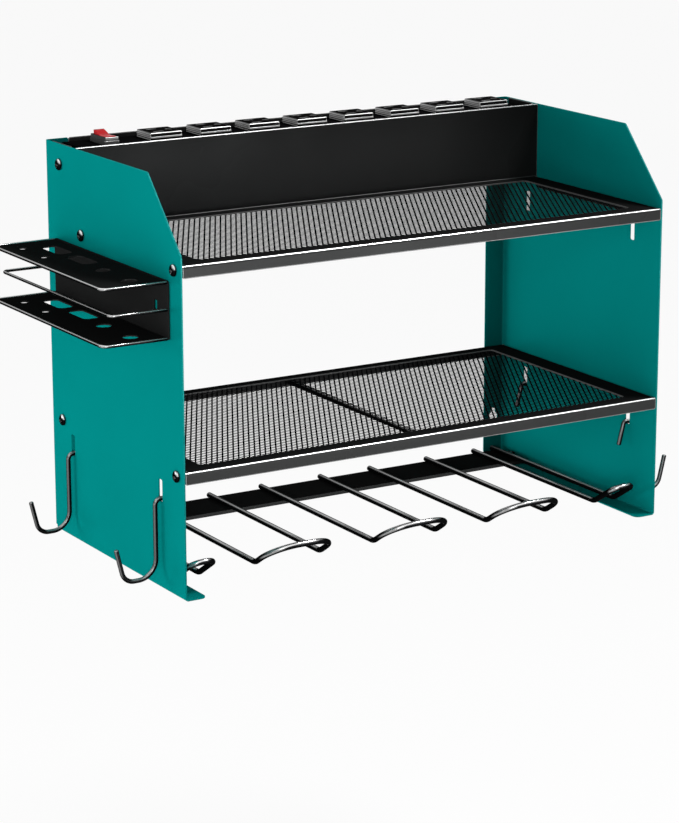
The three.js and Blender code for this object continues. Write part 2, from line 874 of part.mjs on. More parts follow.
function rackHoop(z, inset) {
  const out = rackOut + rackWire / 2 + inset;
  const [front, rear] = [rackFront + rackWire / 2, rackRear - rackWire / 2];
  const back = rackBackOut - seatGap;
  const run = [point(back, front, z), point(out, front, z), point(out, rear, z), point(back, rear, z)];
  return wire(run, rackWire, [0, rackCorner, rackCorner, 0], thinWireSides);
}

// Screws: a domed head, a shank and a flat end, drawn upright with the head's seat at zero

function screw(length, head = screwHead) {
  const rim = head / 2;
  const shank = screwShank / 2;
  const profile = [
    [0, -length],
    [shank, -length],
    [shank, 0],
    [rim, 0],
    [rim, screwRim],
    [rim * Math.cos(Math.PI / 6), (screwRim + screwDome) / 2],
    [rim / 2, screwDome - screwRim / 4],
    [0, screwDome],
  ].map(([radius, along]) => new THREE.Vector2(radius, along));
  return solid(new THREE.LatheGeometry(profile, turnedSides));
}

function sideScrew(name, { y, z }, side) {
  const made = mesh(name, screw(screwLength), materials.screw);
  made.rotation.z = (-side * Math.PI) / 2;
  made.position.set(side * (panelOut + seatGap), y, z);
  return made;
}

function barScrew(name, side) {
  const made = mesh(name, screw(loopBarThickness + sheet + seatGap, barScrewHead), materials.screw);
  made.rotation.x = Math.PI / 2;
  made.position.set(side * barScrewX, barScrewY, barTop + seatGap);
  return made;
}

// Assembly

const sides = { left: -1, right: 1 };

function panels() {
  const right = mesh("side_panel_right", sidePanel(), materials.teal);
  return [mirrored("side_panel_left", right), right];
}

function shelves() {
  return [
    mesh("upper_shelf", upperShelf(), materials.blackSheet),
    mesh("lower_shelf", lowerShelf(), materials.blackSheet),
    mesh("upper_net", net(upperShelfTop, -troughDepth), materials.net),
    mesh("lower_net", net(lowerShelfTop, behindFlange), materials.net),
    mesh("lower_shelf_rod", shelfRod(), materials.wire),
    mesh("power_channel", powerChannel(), materials.blackSheet),
  ];
}

function powerStrip() {
  const rightCap = mesh("strip_cap_right", stripCap(inletDiameter + 2 * seatGap), materials.stripPlastic);
  const leftCap = mirrored("strip_cap_left", mesh("", stripCap(0), materials.stripPlastic));
  leftCap.position.x = stripLeft + stripRight;
  const red = mesh("rocker_switch", rocker(), materials.red);
  red.position.set(switchX, stripMiddle, rockerPivotZ);
  red.rotation.x = THREE.MathUtils.degToRad(rockerTilt);
  return [
    mesh("strip_base", stripBase(), materials.stripPlastic),
    mesh("strip_cover", stripCover(), materials.stripPlastic),
    leftCap,
    rightCap,
    mesh("cord_inlet", cordInlet(), materials.outletPlastic),
    ...["line", "earth", "neutral"].map((name, i) => mesh("bus_bar_" + name, busBar(i), materials.brass)),
    ...outletPlaces.map((x, i) => mesh("outlet_" + (i + 1), outlet(x), materials.outletPlastic)),
    mesh("switch_block", switchBlock(), materials.outletPlastic),
    red,
  ];
}

function drillHolders() {
  const rightHalf = mesh("drill_loop_" + (fullLoopCount + 2), halfLoop(), materials.wire);
  const place = (i) => (i - (fullLoopCount - 1) / 2) * loopPitch;
  const full = Array.from({ length: fullLoopCount }, (_, i) =>
    mesh("drill_loop_" + (i + 2), drillLoop(place(i)), materials.wire),
  );
  return [
    mirrored("drill_loop_1", rightHalf),
    ...full,
    rightHalf,
    mesh("loop_bar", loopBar(), materials.blackSheet),
    ...Object.entries(sides).map(([name, side]) => barScrew("bar_screw_" + name, side)),
  ];
}

function hooks() {
  return Object.entries(slotRows).flatMap(([place, y]) => {
    const right = mesh("hook_right_" + place, hook(y), materials.wire);
    return [right, mirrored("hook_left_" + place, right)];
  });
}

function sideRack() {
  return [
    mesh("rack_back", rackBack(), materials.blackSheet),
    mesh("rack_top", rackPlate(rackTopZ), materials.blackSheet),
    mesh("rack_bottom", rackPlate(rackBottomZ), materials.blackSheet),
    mesh("rack_hoop_top", rackHoop(rackTopZ, 0), materials.wire),
    mesh("rack_hoop_middle", rackHoop(rackMiddleZ, rackMiddleInset), materials.wire),
    mesh("rack_hoop_bottom", rackHoop(rackBottomZ, 0), materials.wire),
  ];
}

const panelScrews = () =>
  Object.entries(sides).flatMap(([name, side]) =>
    screwPlaces.map((place) => sideScrew("screw_" + place.name + "_" + name, place, side)),
  );

const organizer = new THREE.Group();
organizer.add(...panels(), ...shelves(), ...powerStrip(), ...drillHolders());
organizer.add(...hooks(), ...sideRack(), ...panelScrews());
organizer.position.z = -wallKeyholeZ;

export default organizer;
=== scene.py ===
import math

import bmesh
import bpy
import numpy as np
from mathutils import Matrix, Vector
from mathutils.geometry import tessellate_polygon


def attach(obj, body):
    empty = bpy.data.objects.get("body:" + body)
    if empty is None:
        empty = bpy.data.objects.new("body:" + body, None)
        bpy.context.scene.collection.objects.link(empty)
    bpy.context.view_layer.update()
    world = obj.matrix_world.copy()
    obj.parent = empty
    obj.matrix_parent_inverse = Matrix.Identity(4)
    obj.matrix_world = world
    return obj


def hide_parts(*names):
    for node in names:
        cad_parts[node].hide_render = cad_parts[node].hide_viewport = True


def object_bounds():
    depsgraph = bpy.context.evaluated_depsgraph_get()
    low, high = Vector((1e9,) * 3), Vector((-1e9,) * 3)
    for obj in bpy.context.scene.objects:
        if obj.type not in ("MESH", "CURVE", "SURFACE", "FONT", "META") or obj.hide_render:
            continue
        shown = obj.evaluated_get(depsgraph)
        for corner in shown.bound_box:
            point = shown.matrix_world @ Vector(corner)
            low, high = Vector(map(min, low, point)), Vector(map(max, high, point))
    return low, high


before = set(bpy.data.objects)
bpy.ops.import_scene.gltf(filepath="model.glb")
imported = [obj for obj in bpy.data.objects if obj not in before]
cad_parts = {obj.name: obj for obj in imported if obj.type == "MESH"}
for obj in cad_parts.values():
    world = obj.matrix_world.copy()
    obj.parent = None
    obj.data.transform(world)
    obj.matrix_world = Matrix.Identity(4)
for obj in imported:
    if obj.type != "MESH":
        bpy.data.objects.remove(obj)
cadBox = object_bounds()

print("frame loaded:", len(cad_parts), "nodes")

# Sizes are in millimetres, and heights count from the panels' feet: the frame's origin is higher up the wall.
# The gap parts neighbouring pieces, and a relief is the notch where two folds meet.
body = {
    "width": 430, "depth": 220.6, "height": 313, "originHeight": 294, "gap": 0.3, "relief": 3.6,
    "sheet": 1.2, "bendRadius": 1.2, "bendSteps": 8, "arcDegrees": 9, "screwHole": 4.6,
    "rim": 0.22, "border": 0.7, "paintedFoldHighlightNarrowness": 24,
}
halfWidth = body["width"] / 2
panelInside = halfWidth - body["sheet"]
shelfEnd = panelInside - body["gap"]
bendOuter = body["bendRadius"] + body["sheet"]
bendRun = (body["bendRadius"] + body["sheet"] / 2) * math.pi / 2  # a bend's length along its middle
behindFlange = -(bendOuter + body["gap"])
toFrame = Matrix.Translation((0, 0, -body["originHeight"] / 1000)) @ Matrix.Scale(0.001, 4)


# Camera, floor and light, in metres

view = {"yaw": 31.089, "pitch": 14.704, "roll": -0.058, "place": (-1.1628, -2.0118, 0.3820), "lens": 126.45}


def aimCamera():
    yaw, pitch, roll = (math.radians(view[key]) for key in ("yaw", "pitch", "roll"))
    ahead = Vector((math.sin(yaw) * math.cos(pitch), math.cos(yaw) * math.cos(pitch), -math.sin(pitch)))
    level = Vector((math.cos(yaw), -math.sin(yaw), 0))
    rise = level.cross(ahead)
    right = level * math.cos(roll) + rise * math.sin(roll)
    up = rise * math.cos(roll) - level * math.sin(roll)
    camera = bpy.data.objects.new("camera", bpy.data.cameras.new("camera"))
    camera.data.lens = view["lens"]
    camera.data.clip_start, camera.data.clip_end = 0.1, 20
    turn = Matrix((right, up, -ahead)).transposed().to_4x4()
    camera.matrix_world = Matrix.Translation(view["place"]) @ turn
    bpy.context.scene.collection.objects.link(camera)
    bpy.context.scene.camera = camera


studio = {
    "worldLight": 0.18, "backdropTone": 0.945, "lampTarget": (0, -0.1, -0.12),
    "floorDrop": 0.33, "floorSize": 14, "floorTone": 0.9, "floorGlow": 0.93, "floorRoughness": 0.8,
    "lamps": {
        "key": {"place": (-2.6, -0.3, -0.3), "size": 1.2, "power": 9},
        "front": {"place": (0.6, -1.7, -0.5), "size": 0.9, "power": 42},
        "inner": {"place": (-1.5, -2.1, 0.25), "size": 1.2, "power": 25},
        "rear": {"place": (-1.4, 0.7, -0.1), "size": 0.6, "power": 8},
        "edges": {"place": (0.85, -0.5, 1.45), "size": 0.5, "power": 22},
    },
}


def addLamps():
    target = Vector(studio["lampTarget"])
    for name, lamp in studio["lamps"].items():
        light = bpy.data.lights.new(name, "AREA")
        light.size = lamp["size"]
        light.energy = lamp["power"]
        holder = bpy.data.objects.new(name, light)
        holder.location = lamp["place"]
        holder.rotation_euler = (target - Vector(lamp["place"])).to_track_quat("-Z", "Y").to_euler()
        bpy.context.scene.collection.objects.link(holder)


# Fills a node's inputs: a socket is linked, anything else becomes the input's own value
def feed(tree, node, inputs):
    for key, value in inputs.items():
        if isinstance(value, bpy.types.NodeSocket):
            tree.links.new(value, node.inputs[key])
        else:
            node.inputs[key].default_value = value


# Gives the function that adds nodes to a tree, with their settings and inputs
def adderFor(tree):
    def add(kind, inputs=None, **settings):
        node = tree.nodes.new(kind)
        for key, value in settings.items():
            setattr(node, key, value)
        feed(tree, node, inputs or {})
        return node

    return add


# 1 for rays that show the background, straight or by way of a shiny surface, and 0 for those that only light
def seenRays(add):
    rays = add("ShaderNodeLightPath")
    total = rays.outputs["Is Camera Ray"]
    for kind in ("Is Glossy Ray", "Is Transmission Ray"):
        total = add("ShaderNodeMath", {0: total, 1: rays.outputs[kind]}, operation="MAXIMUM").outputs[0]
    return total


def lightWorld():
    world = bpy.data.worlds.new("studio")
    bpy.context.scene.world = world
    world.use_nodes = True
    world.node_tree.nodes.clear()
    add = adderFor(world.node_tree)
    lighting = add("ShaderNodeBackground", {"Color": (1, 1, 1, 1), "Strength": studio["worldLight"]})
    backdrop = add("ShaderNodeBackground", {"Color": (studio["backdropTone"],) * 3 + (1,)})
    mix = add("ShaderNodeMixShader", {0: seenRays(add), 1: lighting.outputs[0], 2: backdrop.outputs[0]})
    add("ShaderNodeOutputWorld", {0: mix.outputs[0]})


def floorMaterial():
    material = bpy.data.materials.new("paleFloor")
    material.use_nodes = True
    tree = material.node_tree
    shader, add = tree.nodes["Principled BSDF"], adderFor(tree)
    tone = (studio["floorTone"],) * 3 + (1,)
    feed(tree, shader, {"Base Color": tone, "Roughness": studio["floorRoughness"]})
    glow = add("ShaderNodeEmission")
    # The glow takes most of what is seen, and the rest keeps the object's shadow
    share = add("ShaderNodeMath", {0: seenRays(add), 1: studio["floorGlow"]}, operation="MULTIPLY")
    mix = add("ShaderNodeMixShader", {0: share.outputs[0], 1: shader.outputs[0], 2: glow.outputs[0]})
    feed(tree, tree.nodes["Material Output"], {0: mix.outputs[0]})
    return material


def layFloor():
    half = studio["floorSize"] / 2
    height = cadBox[0].z - studio["floorDrop"]
    corners = [(-half, -half, height), (half, -half, height), (half, half, height), (-half, half, height)]
    mesh = bpy.data.meshes.new("floor")
    mesh.from_pydata(corners, [], [(0, 1, 2, 3)])
    floor = bpy.data.objects.new("floor", mesh)
    floor.data.materials.append(floorMaterial())
    bpy.context.scene.collection.objects.link(floor)


bpy.context.scene.view_settings.view_transform = "Standard"
aimCamera()
lightWorld()
addLamps()
layFloor()
print("camera, floor and light ready")


# Finishes: one material each, on Object coordinates. Patch and grain are in cycles per metre, depth in metres.
# A mesh's edge attribute says where a painted highlight shows in the finish's own light colour, and its deep
# attribute where painted shade makes that finish darker.

texture = {"patchDetail": 3, "grainDetail": 2, "glossFrom": (0.3, 0.7), "paintedShadeShare": 0.35}
finishes = {
    "tealPaint": {
        "color": (0.0009, 0.262, 0.250), "shade": (0.0006, 0.225, 0.214), "patch": 7,
        "roughness": (0.30, 0.42), "grain": 900, "bump": 0.10, "depth": 0.00006,
        "metallic": 0.12, "tint": (0, 1, 0.96), "paintedHighlightColor": (0.10, 0.60, 0.58),
    },
    "blackSheet": {
        "color": (0.022, 0.0225, 0.0225), "shade": (0.016, 0.0165, 0.0165), "patch": 9,
        "roughness": (0.22, 0.36), "grain": 1100, "bump": 0.10, "depth": 0.00005,
        "metallic": 0.2, "tint": (0.02, 0.02, 0.02), "paintedHighlightColor": (0.95, 0.95, 0.95),
    },
    "blackNet": {
        "color": (0.006, 0.0062, 0.0066), "shade": (0.004, 0.004, 0.0044), "patch": 30,
        "roughness": (0.35, 0.5), "grain": 1500, "bump": 0.12, "depth": 0.00004,
        "metallic": 0.2, "tint": (0.02, 0.02, 0.02),
    },
    "blackWire": {
        "color": (0.0060, 0.0062, 0.0066), "shade": (0.0040, 0.0041, 0.0044), "patch": 20,
        "roughness": (0.14, 0.22), "grain": 700, "bump": 0.05, "depth": 0.00005,
        "metallic": 0.5, "tint": (0.08, 0.08, 0.08), "paintedHighlightColor": (0.92, 0.92, 0.92),
    },
    "stripPlastic": {
        "color": (0.0065, 0.0065, 0.0070), "shade": (0.0045, 0.0045, 0.0049), "patch": 14,
        "roughness": (0.32, 0.46), "grain": 2200, "bump": 0.16, "depth": 0.00004,
        "metallic": 0.2, "tint": (0.02, 0.02, 0.02),
    },
    "outletPlastic": {
        "color": (0.009, 0.009, 0.009), "shade": (0.006, 0.006, 0.006), "patch": 18,
        "roughness": (0.24, 0.36), "grain": 2600, "bump": 0.12, "depth": 0.00003,
        "metallic": 0.2, "tint": (0.02, 0.02, 0.02), "paintedHighlightColor": (0.95, 0.95, 0.95),
    },
    "redPlastic": {
        "color": (0.62, 0.010, 0.016), "shade": (0.50, 0.006, 0.010), "patch": 60,
        "roughness": (0.18, 0.28), "grain": 1800, "bump": 0.04, "depth": 0.00003,
        "specular": 0.04,
    },
    "contactBrass": {
        "color": (0.66, 0.45, 0.17), "shade": (0.50, 0.32, 0.11), "patch": 40,
        "roughness": (0.24, 0.42), "grain": 1300, "bump": 0.10, "depth": 0.00004,
        "specular": 0.5, "metallic": 1, "stretch": (0.05, 1, 1),
    },
    "blackScrew": {
        "color": (0.0060, 0.0060, 0.0064), "shade": (0.0040, 0.0040, 0.0044), "patch": 260,
        "roughness": (0.14, 0.26), "grain": 1600, "bump": 0.10, "depth": 0.00004,
        "metallic": 0.5, "tint": (0.08, 0.08, 0.08), "paintedHighlightColor": (0.85, 0.87, 0.87),
    },
}


def makeFinish(name, finish):
    material = bpy.data.materials.new(name)
    material.use_nodes = True
    tree = material.node_tree
    shader, add = tree.nodes["Principled BSDF"], adderFor(tree)

    def noise(size):
        return add("ShaderNodeTexNoise", {
            "Vector": mapping.outputs[0], "Scale": finish[size], "Detail": texture[size + "Detail"],
        }).outputs["Fac"]

    def layered(under, over, share):
        mix = add("ShaderNodeMix", {"Factor": share, "A": under, "B": (*over, 1)}, data_type="RGBA")
        return mix.outputs["Result"]

    place = add("ShaderNodeTexCoord")
    mapping = add("ShaderNodeMapping", {
        "Vector": place.outputs["Object"], "Scale": finish.get("stretch", (1, 1, 1))})
    patches, grain = noise("patch"), noise("grain")
    base = layered((*finish["shade"], 1), finish["color"], patches)
    metallic = finish.get("metallic", 0)
    if "paintedHighlightColor" in finish:
        # painted shade: where the deep attribute is set, the colour darkens to a share of the shade tone
        deep = add("ShaderNodeAttribute", attribute_name="deep").outputs["Fac"]
        base = layered(base, [texture["paintedShadeShare"] * value for value in finish["shade"]], deep)
        # painted highlight: where the edge attribute is set, the colour turns to the light highlight colour
        edge = add("ShaderNodeAttribute", attribute_name="edge").outputs["Fac"]
        base = layered(base, finish["paintedHighlightColor"], edge)
        # the painted highlight also turns the finish fully metallic there, so it mirrors the white
        # surroundings
        metallic = add("ShaderNodeMapRange", {"Value": edge, "To Min": metallic}).outputs[0]
    fromLow, fromHigh = texture["glossFrom"]
    low, high = finish["roughness"]
    gloss = add("ShaderNodeMapRange", {
        "Value": patches, "From Min": fromLow, "From Max": fromHigh, "To Min": low, "To Max": high})
    bump = add("ShaderNodeBump", {"Strength": finish["bump"], "Distance": finish["depth"], "Height": grain})
    feed(tree, shader, {
        "Base Color": base, "Metallic": metallic, "Roughness": gloss.outputs[0], "Normal": bump.outputs[0],
        "Specular IOR Level": finish.get("specular", 0),
        "Specular Tint": (*finish.get("tint", (1, 1, 1)), 1)})
    return material


materials = {name: makeFinish(name, finish) for name, finish in finishes.items()}
print("finishes ready:", len(materials))


# Outlines: lists of points in a plane

# Bends the corners of a run of points, in a plane or in space, into arcs
def filleted(points, radii, degrees=body["arcDegrees"], closed=True):
    count = len(points)
    points = [Vector(p) for p in points]
    radii = [radii] * count if isinstance(radii, (int, float)) else radii
    made = []
    for i, corner in enumerate(points):
        if not radii[i] or (not closed and i in (0, count - 1)):
            made.append(corner)
            continue
        arriving = (corner - points[i - 1]).normalized()
        leaving = (points[(i + 1) % count] - corner).normalized()
        turn = arriving.angle(leaving)
        if turn < 1e-4:
            made.append(corner)
            continue
        inward = (leaving - arriving * math.cos(turn)).normalized()
        start = corner - arriving * radii[i] * math.tan(turn / 2)
        steps = max(2, math.ceil(math.degrees(turn) / degrees))
        for angle in (turn * k / steps for k in range(steps + 1)):
            along, across = arriving * radii[i] * math.sin(angle), inward * radii[i] * (1 - math.cos(angle))
            made.append(start + along + across)
    return made


def rectangle(x0, x1, y0, y1, radius=0):
    return filleted([(x0, y0), (x1, y0), (x1, y1), (x0, y1)], radius)


def disc(x, y, diameter, sides=32):
    turns = [2 * math.pi * k / sides for k in range(sides)]
    return [Vector((x + diameter / 2 * math.cos(a), y + diameter / 2 * math.sin(a))) for a in turns]


# A round head with a narrower neck above it, rounded at its top
def keyholeLoop(x, y, head, neck, rise, sides=32, topSides=12):
    mouth = math.asin(neck / head)
    start, sweep = math.pi / 2 + mouth, 2 * math.pi - 2 * mouth
    around = [start + sweep * k / sides for k in range(sides + 1)]
    top = [math.pi * k / topSides for k in range(topSides + 1)]
    arcs = (head / 2, y, around), (neck / 2, y + rise - neck / 2, top)
    return [Vector((x + radius * math.cos(a), middle + radius * math.sin(a)))
            for radius, middle, angles in arcs for a in angles]


# Moves a loop into the material on its left by amount, with mitred corners
def inset(loop, amount):
    points = np.array([(p[0], p[1]) for p in loop], float)
    along = np.roll(points, -1, 0) - points
    along /= np.linalg.norm(along, axis=1)[:, None]
    left = np.stack([-along[:, 1], along[:, 0]], 1)
    before = np.roll(left, 1, 0)
    share = 1 + np.einsum("ij,ij->i", left, before)
    return points + amount * (left + before) / np.maximum(share, 0.2)[:, None]


def turnedOver(loop, leftward):
    points = [(p[0], p[1]) for p in loop]
    area = sum(a[0] * b[1] - b[0] * a[1] for a, b in zip(points, points[1:] + points[:1]))
    return points if (area > 0) == leftward else points[::-1]


# Plates: an outline with holes gets a thickness and rounded rims, and lies in the plane, its middle at zero.
# With a border, the rims carry an edge attribute of painted highlight: the given function tells its share at a
# place.

def plate(loops, thickness, rim=body["rim"], rimSteps=2, border=0, paintedHighlightAt=None):
    wall = thickness / 2 - rim
    rounded = [(rim * (1 - math.sin(a)), wall + rim * math.cos(a))
               for a in (math.pi / 2 * k / rimSteps for k in range(rimSteps + 1))]
    thick = thickness > 4 * border
    if border:
        nearRim = border * 0.6
        rounded = [(border, thickness / 2), (nearRim, thickness / 2)] + rounded
        if thick:
            rounded += [(0, wall - nearRim), (0, wall - border)]
    levels = [(cutIn, -z) for cutIn, z in rounded] + [(cutIn, z) for cutIn, z in reversed(rounded)]
    vertices, faces, caps = [], [], ([], [])
    for index, loop in enumerate(loops):
        loop = turnedOver(loop, index == 0)
        rings = []
        for cutIn, z in levels:
            rings.append(range(len(vertices), len(vertices) + len(loop)))
            vertices += [(x, y, z) for x, y in inset(loop, cutIn)]
        for low, high in zip(rings, rings[1:]):
            for k in range(len(loop)):
                after = (k + 1) % len(loop)
                faces.append((low[k], low[after], high[after], high[k]))
        caps[0].append(list(rings[0]))
        caps[1].append(list(rings[-1]))
    for rings, flip in ((caps[0], True), (caps[1], False)):
        names = [v for ring in rings for v in ring]
        for triangle in tessellate_polygon([[Vector(vertices[v]) for v in ring] for ring in rings]):
            a, b, c = (Vector(vertices[names[v]]) for v in triangle)
            up = (b - a).cross(c - a).z > 0
            triangle = triangle if up != flip else triangle[::-1]
            faces.append(tuple(names[v] for v in triangle))
    mesh = bpy.data.meshes.new("plate")
    mesh.from_pydata(vertices, [], faces)
    if border:
        inner = {v for cap in caps for ring in cap for v in ring}
        plainWall = wall - border * 0.8 if thick else -1
        paintedShine = [0.0 if i in inner else float(paintedHighlightAt(x, y, 0 if abs(z) < plainWall else z))
                 for i, (x, y, z) in enumerate(vertices)]
        mesh.attributes.new("edge", "FLOAT", "POINT").data.foreach_set("value", paintedShine)
    return mesh


# Folds flaps of a flat blank by a right angle. A fold is (axis, start, outward sign, up or down, low, high,
# shine): it starts at that place along its axis, and takes what lies between low and high along the other.
# Its shine is the brightness of a painted highlight, a light line along the middle of its bend.
def fold(mesh, thickness, folds, radius=body["bendRadius"], steps=body["bendSteps"]):
    middle = radius + thickness / 2
    run = middle * math.pi / 2
    made = bmesh.new()
    made.from_mesh(mesh)
    # the painted highlight that the rims already carry, to which the bends add theirs
    light = made.verts.layers.float.get("edge")
    for axis, start, sign, *_ in folds:
        normal = Vector((1, 0, 0)) if axis == 0 else Vector((0, 1, 0))
        for k in range(steps + 1):
            at = normal * (start + sign * run * k / steps)
            geometry = made.verts[:] + made.edges[:] + made.faces[:]
            bmesh.ops.bisect_plane(made, geom=geometry, dist=1e-5, plane_co=at, plane_no=normal)
    places = np.array([v.co for v in made.verts])
    moved, glint = places.copy(), np.zeros(len(places))
    for axis, start, sign, up, low, high, paintedShine in folds:
        other = places[:, 1 - axis]
        past = (places[:, axis] - start) * sign
        mine = (past > 1e-6) & (other > low - 1e-4) & (other < high + 1e-4)
        angle = np.clip(past / middle, 0, math.pi / 2)
        height = places[:, 2] * up
        reach = (middle - height) * np.sin(angle)
        rise = middle - (middle - height) * np.cos(angle) + np.maximum(past - run, 0)
        moved[mine, axis] = start + sign * reach[mine]
        moved[mine, 2] = up * rise[mine]
        # painted highlight along the bend, brightest halfway round it
        bright = paintedShine * np.sin(2 * angle[mine]) ** body["paintedFoldHighlightNarrowness"]
        glint[mine] = np.maximum(glint[mine], bright)
    for vertex, place, share in zip(made.verts, moved, glint):
        vertex.co = place
        if light:
            vertex[light] = max(vertex[light], share)
    made.to_mesh(mesh)
    made.free()
    return mesh


# Where a point of a flap lies in the flat blank: outside is the fold's outer face, and along is the distance
# from the plate's outer face to the point
def unfolded(outside, along):
    sign = 1 if outside >= 0 else -1
    return outside + sign * (bendRun + along - 2 * bendOuter)


# A profile of (radius, height) turned about the vertical, outer side upwards. Points on the axis become poles.
def turned(profile, sides, closed=False):
    vertices, faces, rings = [], [], []
    for radius, z in profile:
        count = sides if radius else 1
        rings.append([len(vertices) + k % count for k in range(sides + 1)])
        turns = [2 * math.pi * k / sides for k in range(count)]
        vertices += [(radius * math.cos(a), radius * math.sin(a), z) for a in turns]
    for low, high in zip(rings, rings[1:] + (rings[:1] if closed else [])):
        for k in range(sides):
            around = (low[k], low[k + 1], high[k + 1], high[k])
            faces.append(tuple(dict.fromkeys(around)))  # a quad at a pole is a triangle
    mesh = bpy.data.meshes.new("turned")
    mesh.from_pydata(vertices, [], faces)
    return mesh


def placed(mesh, *matrices):
    for matrix in matrices:
        mesh.transform(matrix)
        if matrix.determinant() < 0:
            mesh.flip_normals()
    return mesh


def joined(*meshes):
    made = bmesh.new()
    for mesh in meshes:
        made.from_mesh(mesh)
    mesh = bpy.data.meshes.new("joined")
    made.to_mesh(mesh)
    made.free()
    return mesh


# Stores a share for every vertex, found from its place and normal. An earlier larger one stays.
def marked(mesh, name, share):
    light = mesh.attributes.get(name) or mesh.attributes.new(name, "FLOAT", "POINT")
    values = [max(old.value, share(v.co, v.normal)) for old, v in zip(light.data, mesh.vertices)]
    light.data.foreach_set("value", values)
    return mesh


# Painted glints: bands of painted highlight on round wires and heads, which way they face, how narrow they are
# and how bright
paintedGlintBands = {
    "top": ((-0.35, -0.45, 0.82), 0.74, 1),
    "upright": ((-0.8, -0.6, 0), 0.88, 0.34),
    "head": ((-0.55, -0.45, 0.7), 0.80, 1),
    "gain": 1.6,
}


# the share of painted glint that a vertex gets from its normal
def glint(band, share=1):
    toward, narrow, bright = paintedGlintBands[band]
    toward = Vector(toward).normalized()

    def found(place, normal):
        within = (normal.dot(toward) - narrow) / (1 - narrow) * paintedGlintBands["gain"]
        return share * bright * min(1, max(0, within))

    return found


def shift(x=0, y=0, z=0):
    return Matrix.Translation((x, y, z))


# Where a plate's own x, y and thickness go: to Y, Z and X, or to X, Z and -Y
ontoSide = Matrix(((0, 0, 1, 0), (1, 0, 0, 0), (0, 1, 0, 0), (0, 0, 0, 1)))
ontoFront = Matrix(((1, 0, 0, 0), (0, 0, -1, 0), (0, 1, 0, 0), (0, 0, 0, 1)))
mirror = Matrix.Scale(-1, 4, (1, 0, 0))


def evaluatedMesh(piece):
    return bpy.data.meshes.new_from_object(piece.evaluated_get(bpy.context.evaluated_depsgraph_get()))


# Puts a mesh in millimetres into the frame as a piece that stands for its CAD nodes
def finished(name, mesh, finish, nodes, ridesOn="frame", even=True):
    mesh.transform(toFrame)
    mesh.shade_smooth()
    mesh.materials.clear()
    mesh.materials.append(materials[finish])
    piece = bpy.data.objects.new(name, mesh)
    bpy.context.scene.collection.objects.link(piece)
    if even:
        weighted = piece.modifiers.new("evenFaces", "WEIGHTED_NORMAL")
        weighted.weight = 60  # broad faces shade flat and narrow rims round
        plain = evaluatedMesh(piece)
        piece.modifiers.clear()
        piece.data = plain
    piece.data.name = name
    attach(piece, ridesOn)
    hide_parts(*nodes)
    return piece


# Node trees for what repeats or follows a path: named inputs, and real geometry with a material at the end

def newTree(name, inputs, build):
    tree = bpy.data.node_groups.new(name, "GeometryNodeTree")
    tree.interface.new_socket("Geometry", in_out="OUTPUT", socket_type="NodeSocketGeometry")
    identifiers = {}
    inputs = {"Geometry": ("Geometry", None), **inputs, "Material": ("Material", None)}
    for label, (kind, value) in inputs.items():
        socket = tree.interface.new_socket(label, in_out="INPUT", socket_type="NodeSocket" + kind)
        identifiers[label] = socket.identifier
        if value is not None:
            socket.default_value = value
    given, add = tree.nodes.new("NodeGroupInput").outputs, adderFor(tree)
    real = add("GeometryNodeRealizeInstances", {"Geometry": build(add, given)})
    painted = add("GeometryNodeSetMaterial", {"Geometry": real.outputs[0], "Material": given["Material"]})
    add("NodeGroupOutput", {"Geometry": painted.outputs[0]})
    return tree, identifiers


def buildSweep(add, given):
    half = add("ShaderNodeMath", {0: given["Diameter"], 1: 0.5}, operation="MULTIPLY")
    ring = add("GeometryNodeCurvePrimitiveCircle", {"Resolution": given["Sides"], "Radius": half.outputs[0]})
    taper = add("GeometryNodeInputRadius")
    sweep = add("GeometryNodeCurveToMesh", {
        "Curve": given["Geometry"], "Profile Curve": ring.outputs[0], "Scale": taper.outputs[0],
        "Fill Caps": True})
    return add("GeometryNodeSetShadeSmooth", {"Geometry": sweep.outputs[0]}).outputs[0]


def buildLattice(add, given):
    def combine(operation, a, b):
        return add("ShaderNodeMath", {0: a, 1: b}, operation=operation).outputs[0]

    count = combine("MULTIPLY", given["Columns"], given["Rows"])
    index = add("GeometryNodeInputIndex").outputs[0]
    row = combine("FLOOR", combine("DIVIDE", combine("ADD", index, 0.5), given["Columns"]), 0)
    column = combine("SUBTRACT", index, combine("MULTIPLY", row, given["Columns"]))
    stagger = combine("MULTIPLY", combine("MODULO", row, 2), 0.5)
    across = combine("MULTIPLY", combine("ADD", column, stagger), given["Pitch"])
    along = combine("MULTIPLY", row, given["Row pitch"])
    place = add("ShaderNodeCombineXYZ", {"X": across, "Y": along})
    start = add("ShaderNodeVectorMath", {0: place.outputs[0], 1: given["Corner"]}, operation="ADD")
    points = add("GeometryNodePoints", {"Count": count, "Position": start.outputs[0]})
    tiles = add("GeometryNodeInstanceOnPoints", {"Points": points.outputs[0], "Instance": given["Geometry"]})
    real = add("GeometryNodeRealizeInstances", {"Geometry": tiles.outputs[0]})
    whole = add("GeometryNodeMergeByDistance", {"Geometry": real.outputs[0], "Distance": given["Merge"]})
    uneven = add("FunctionNodeRandomValue", {"Seed": given["Seed"]}, data_type="FLOAT")
    lift = combine("MULTIPLY", combine("SUBTRACT", uneven.outputs[1], 0.5), given["Waviness"])
    offset = add("ShaderNodeCombineXYZ", {"Z": lift})
    shaped = add("GeometryNodeSetPosition", {"Geometry": whole.outputs[0], "Offset": offset.outputs[0]})
    return shaped.outputs[0]


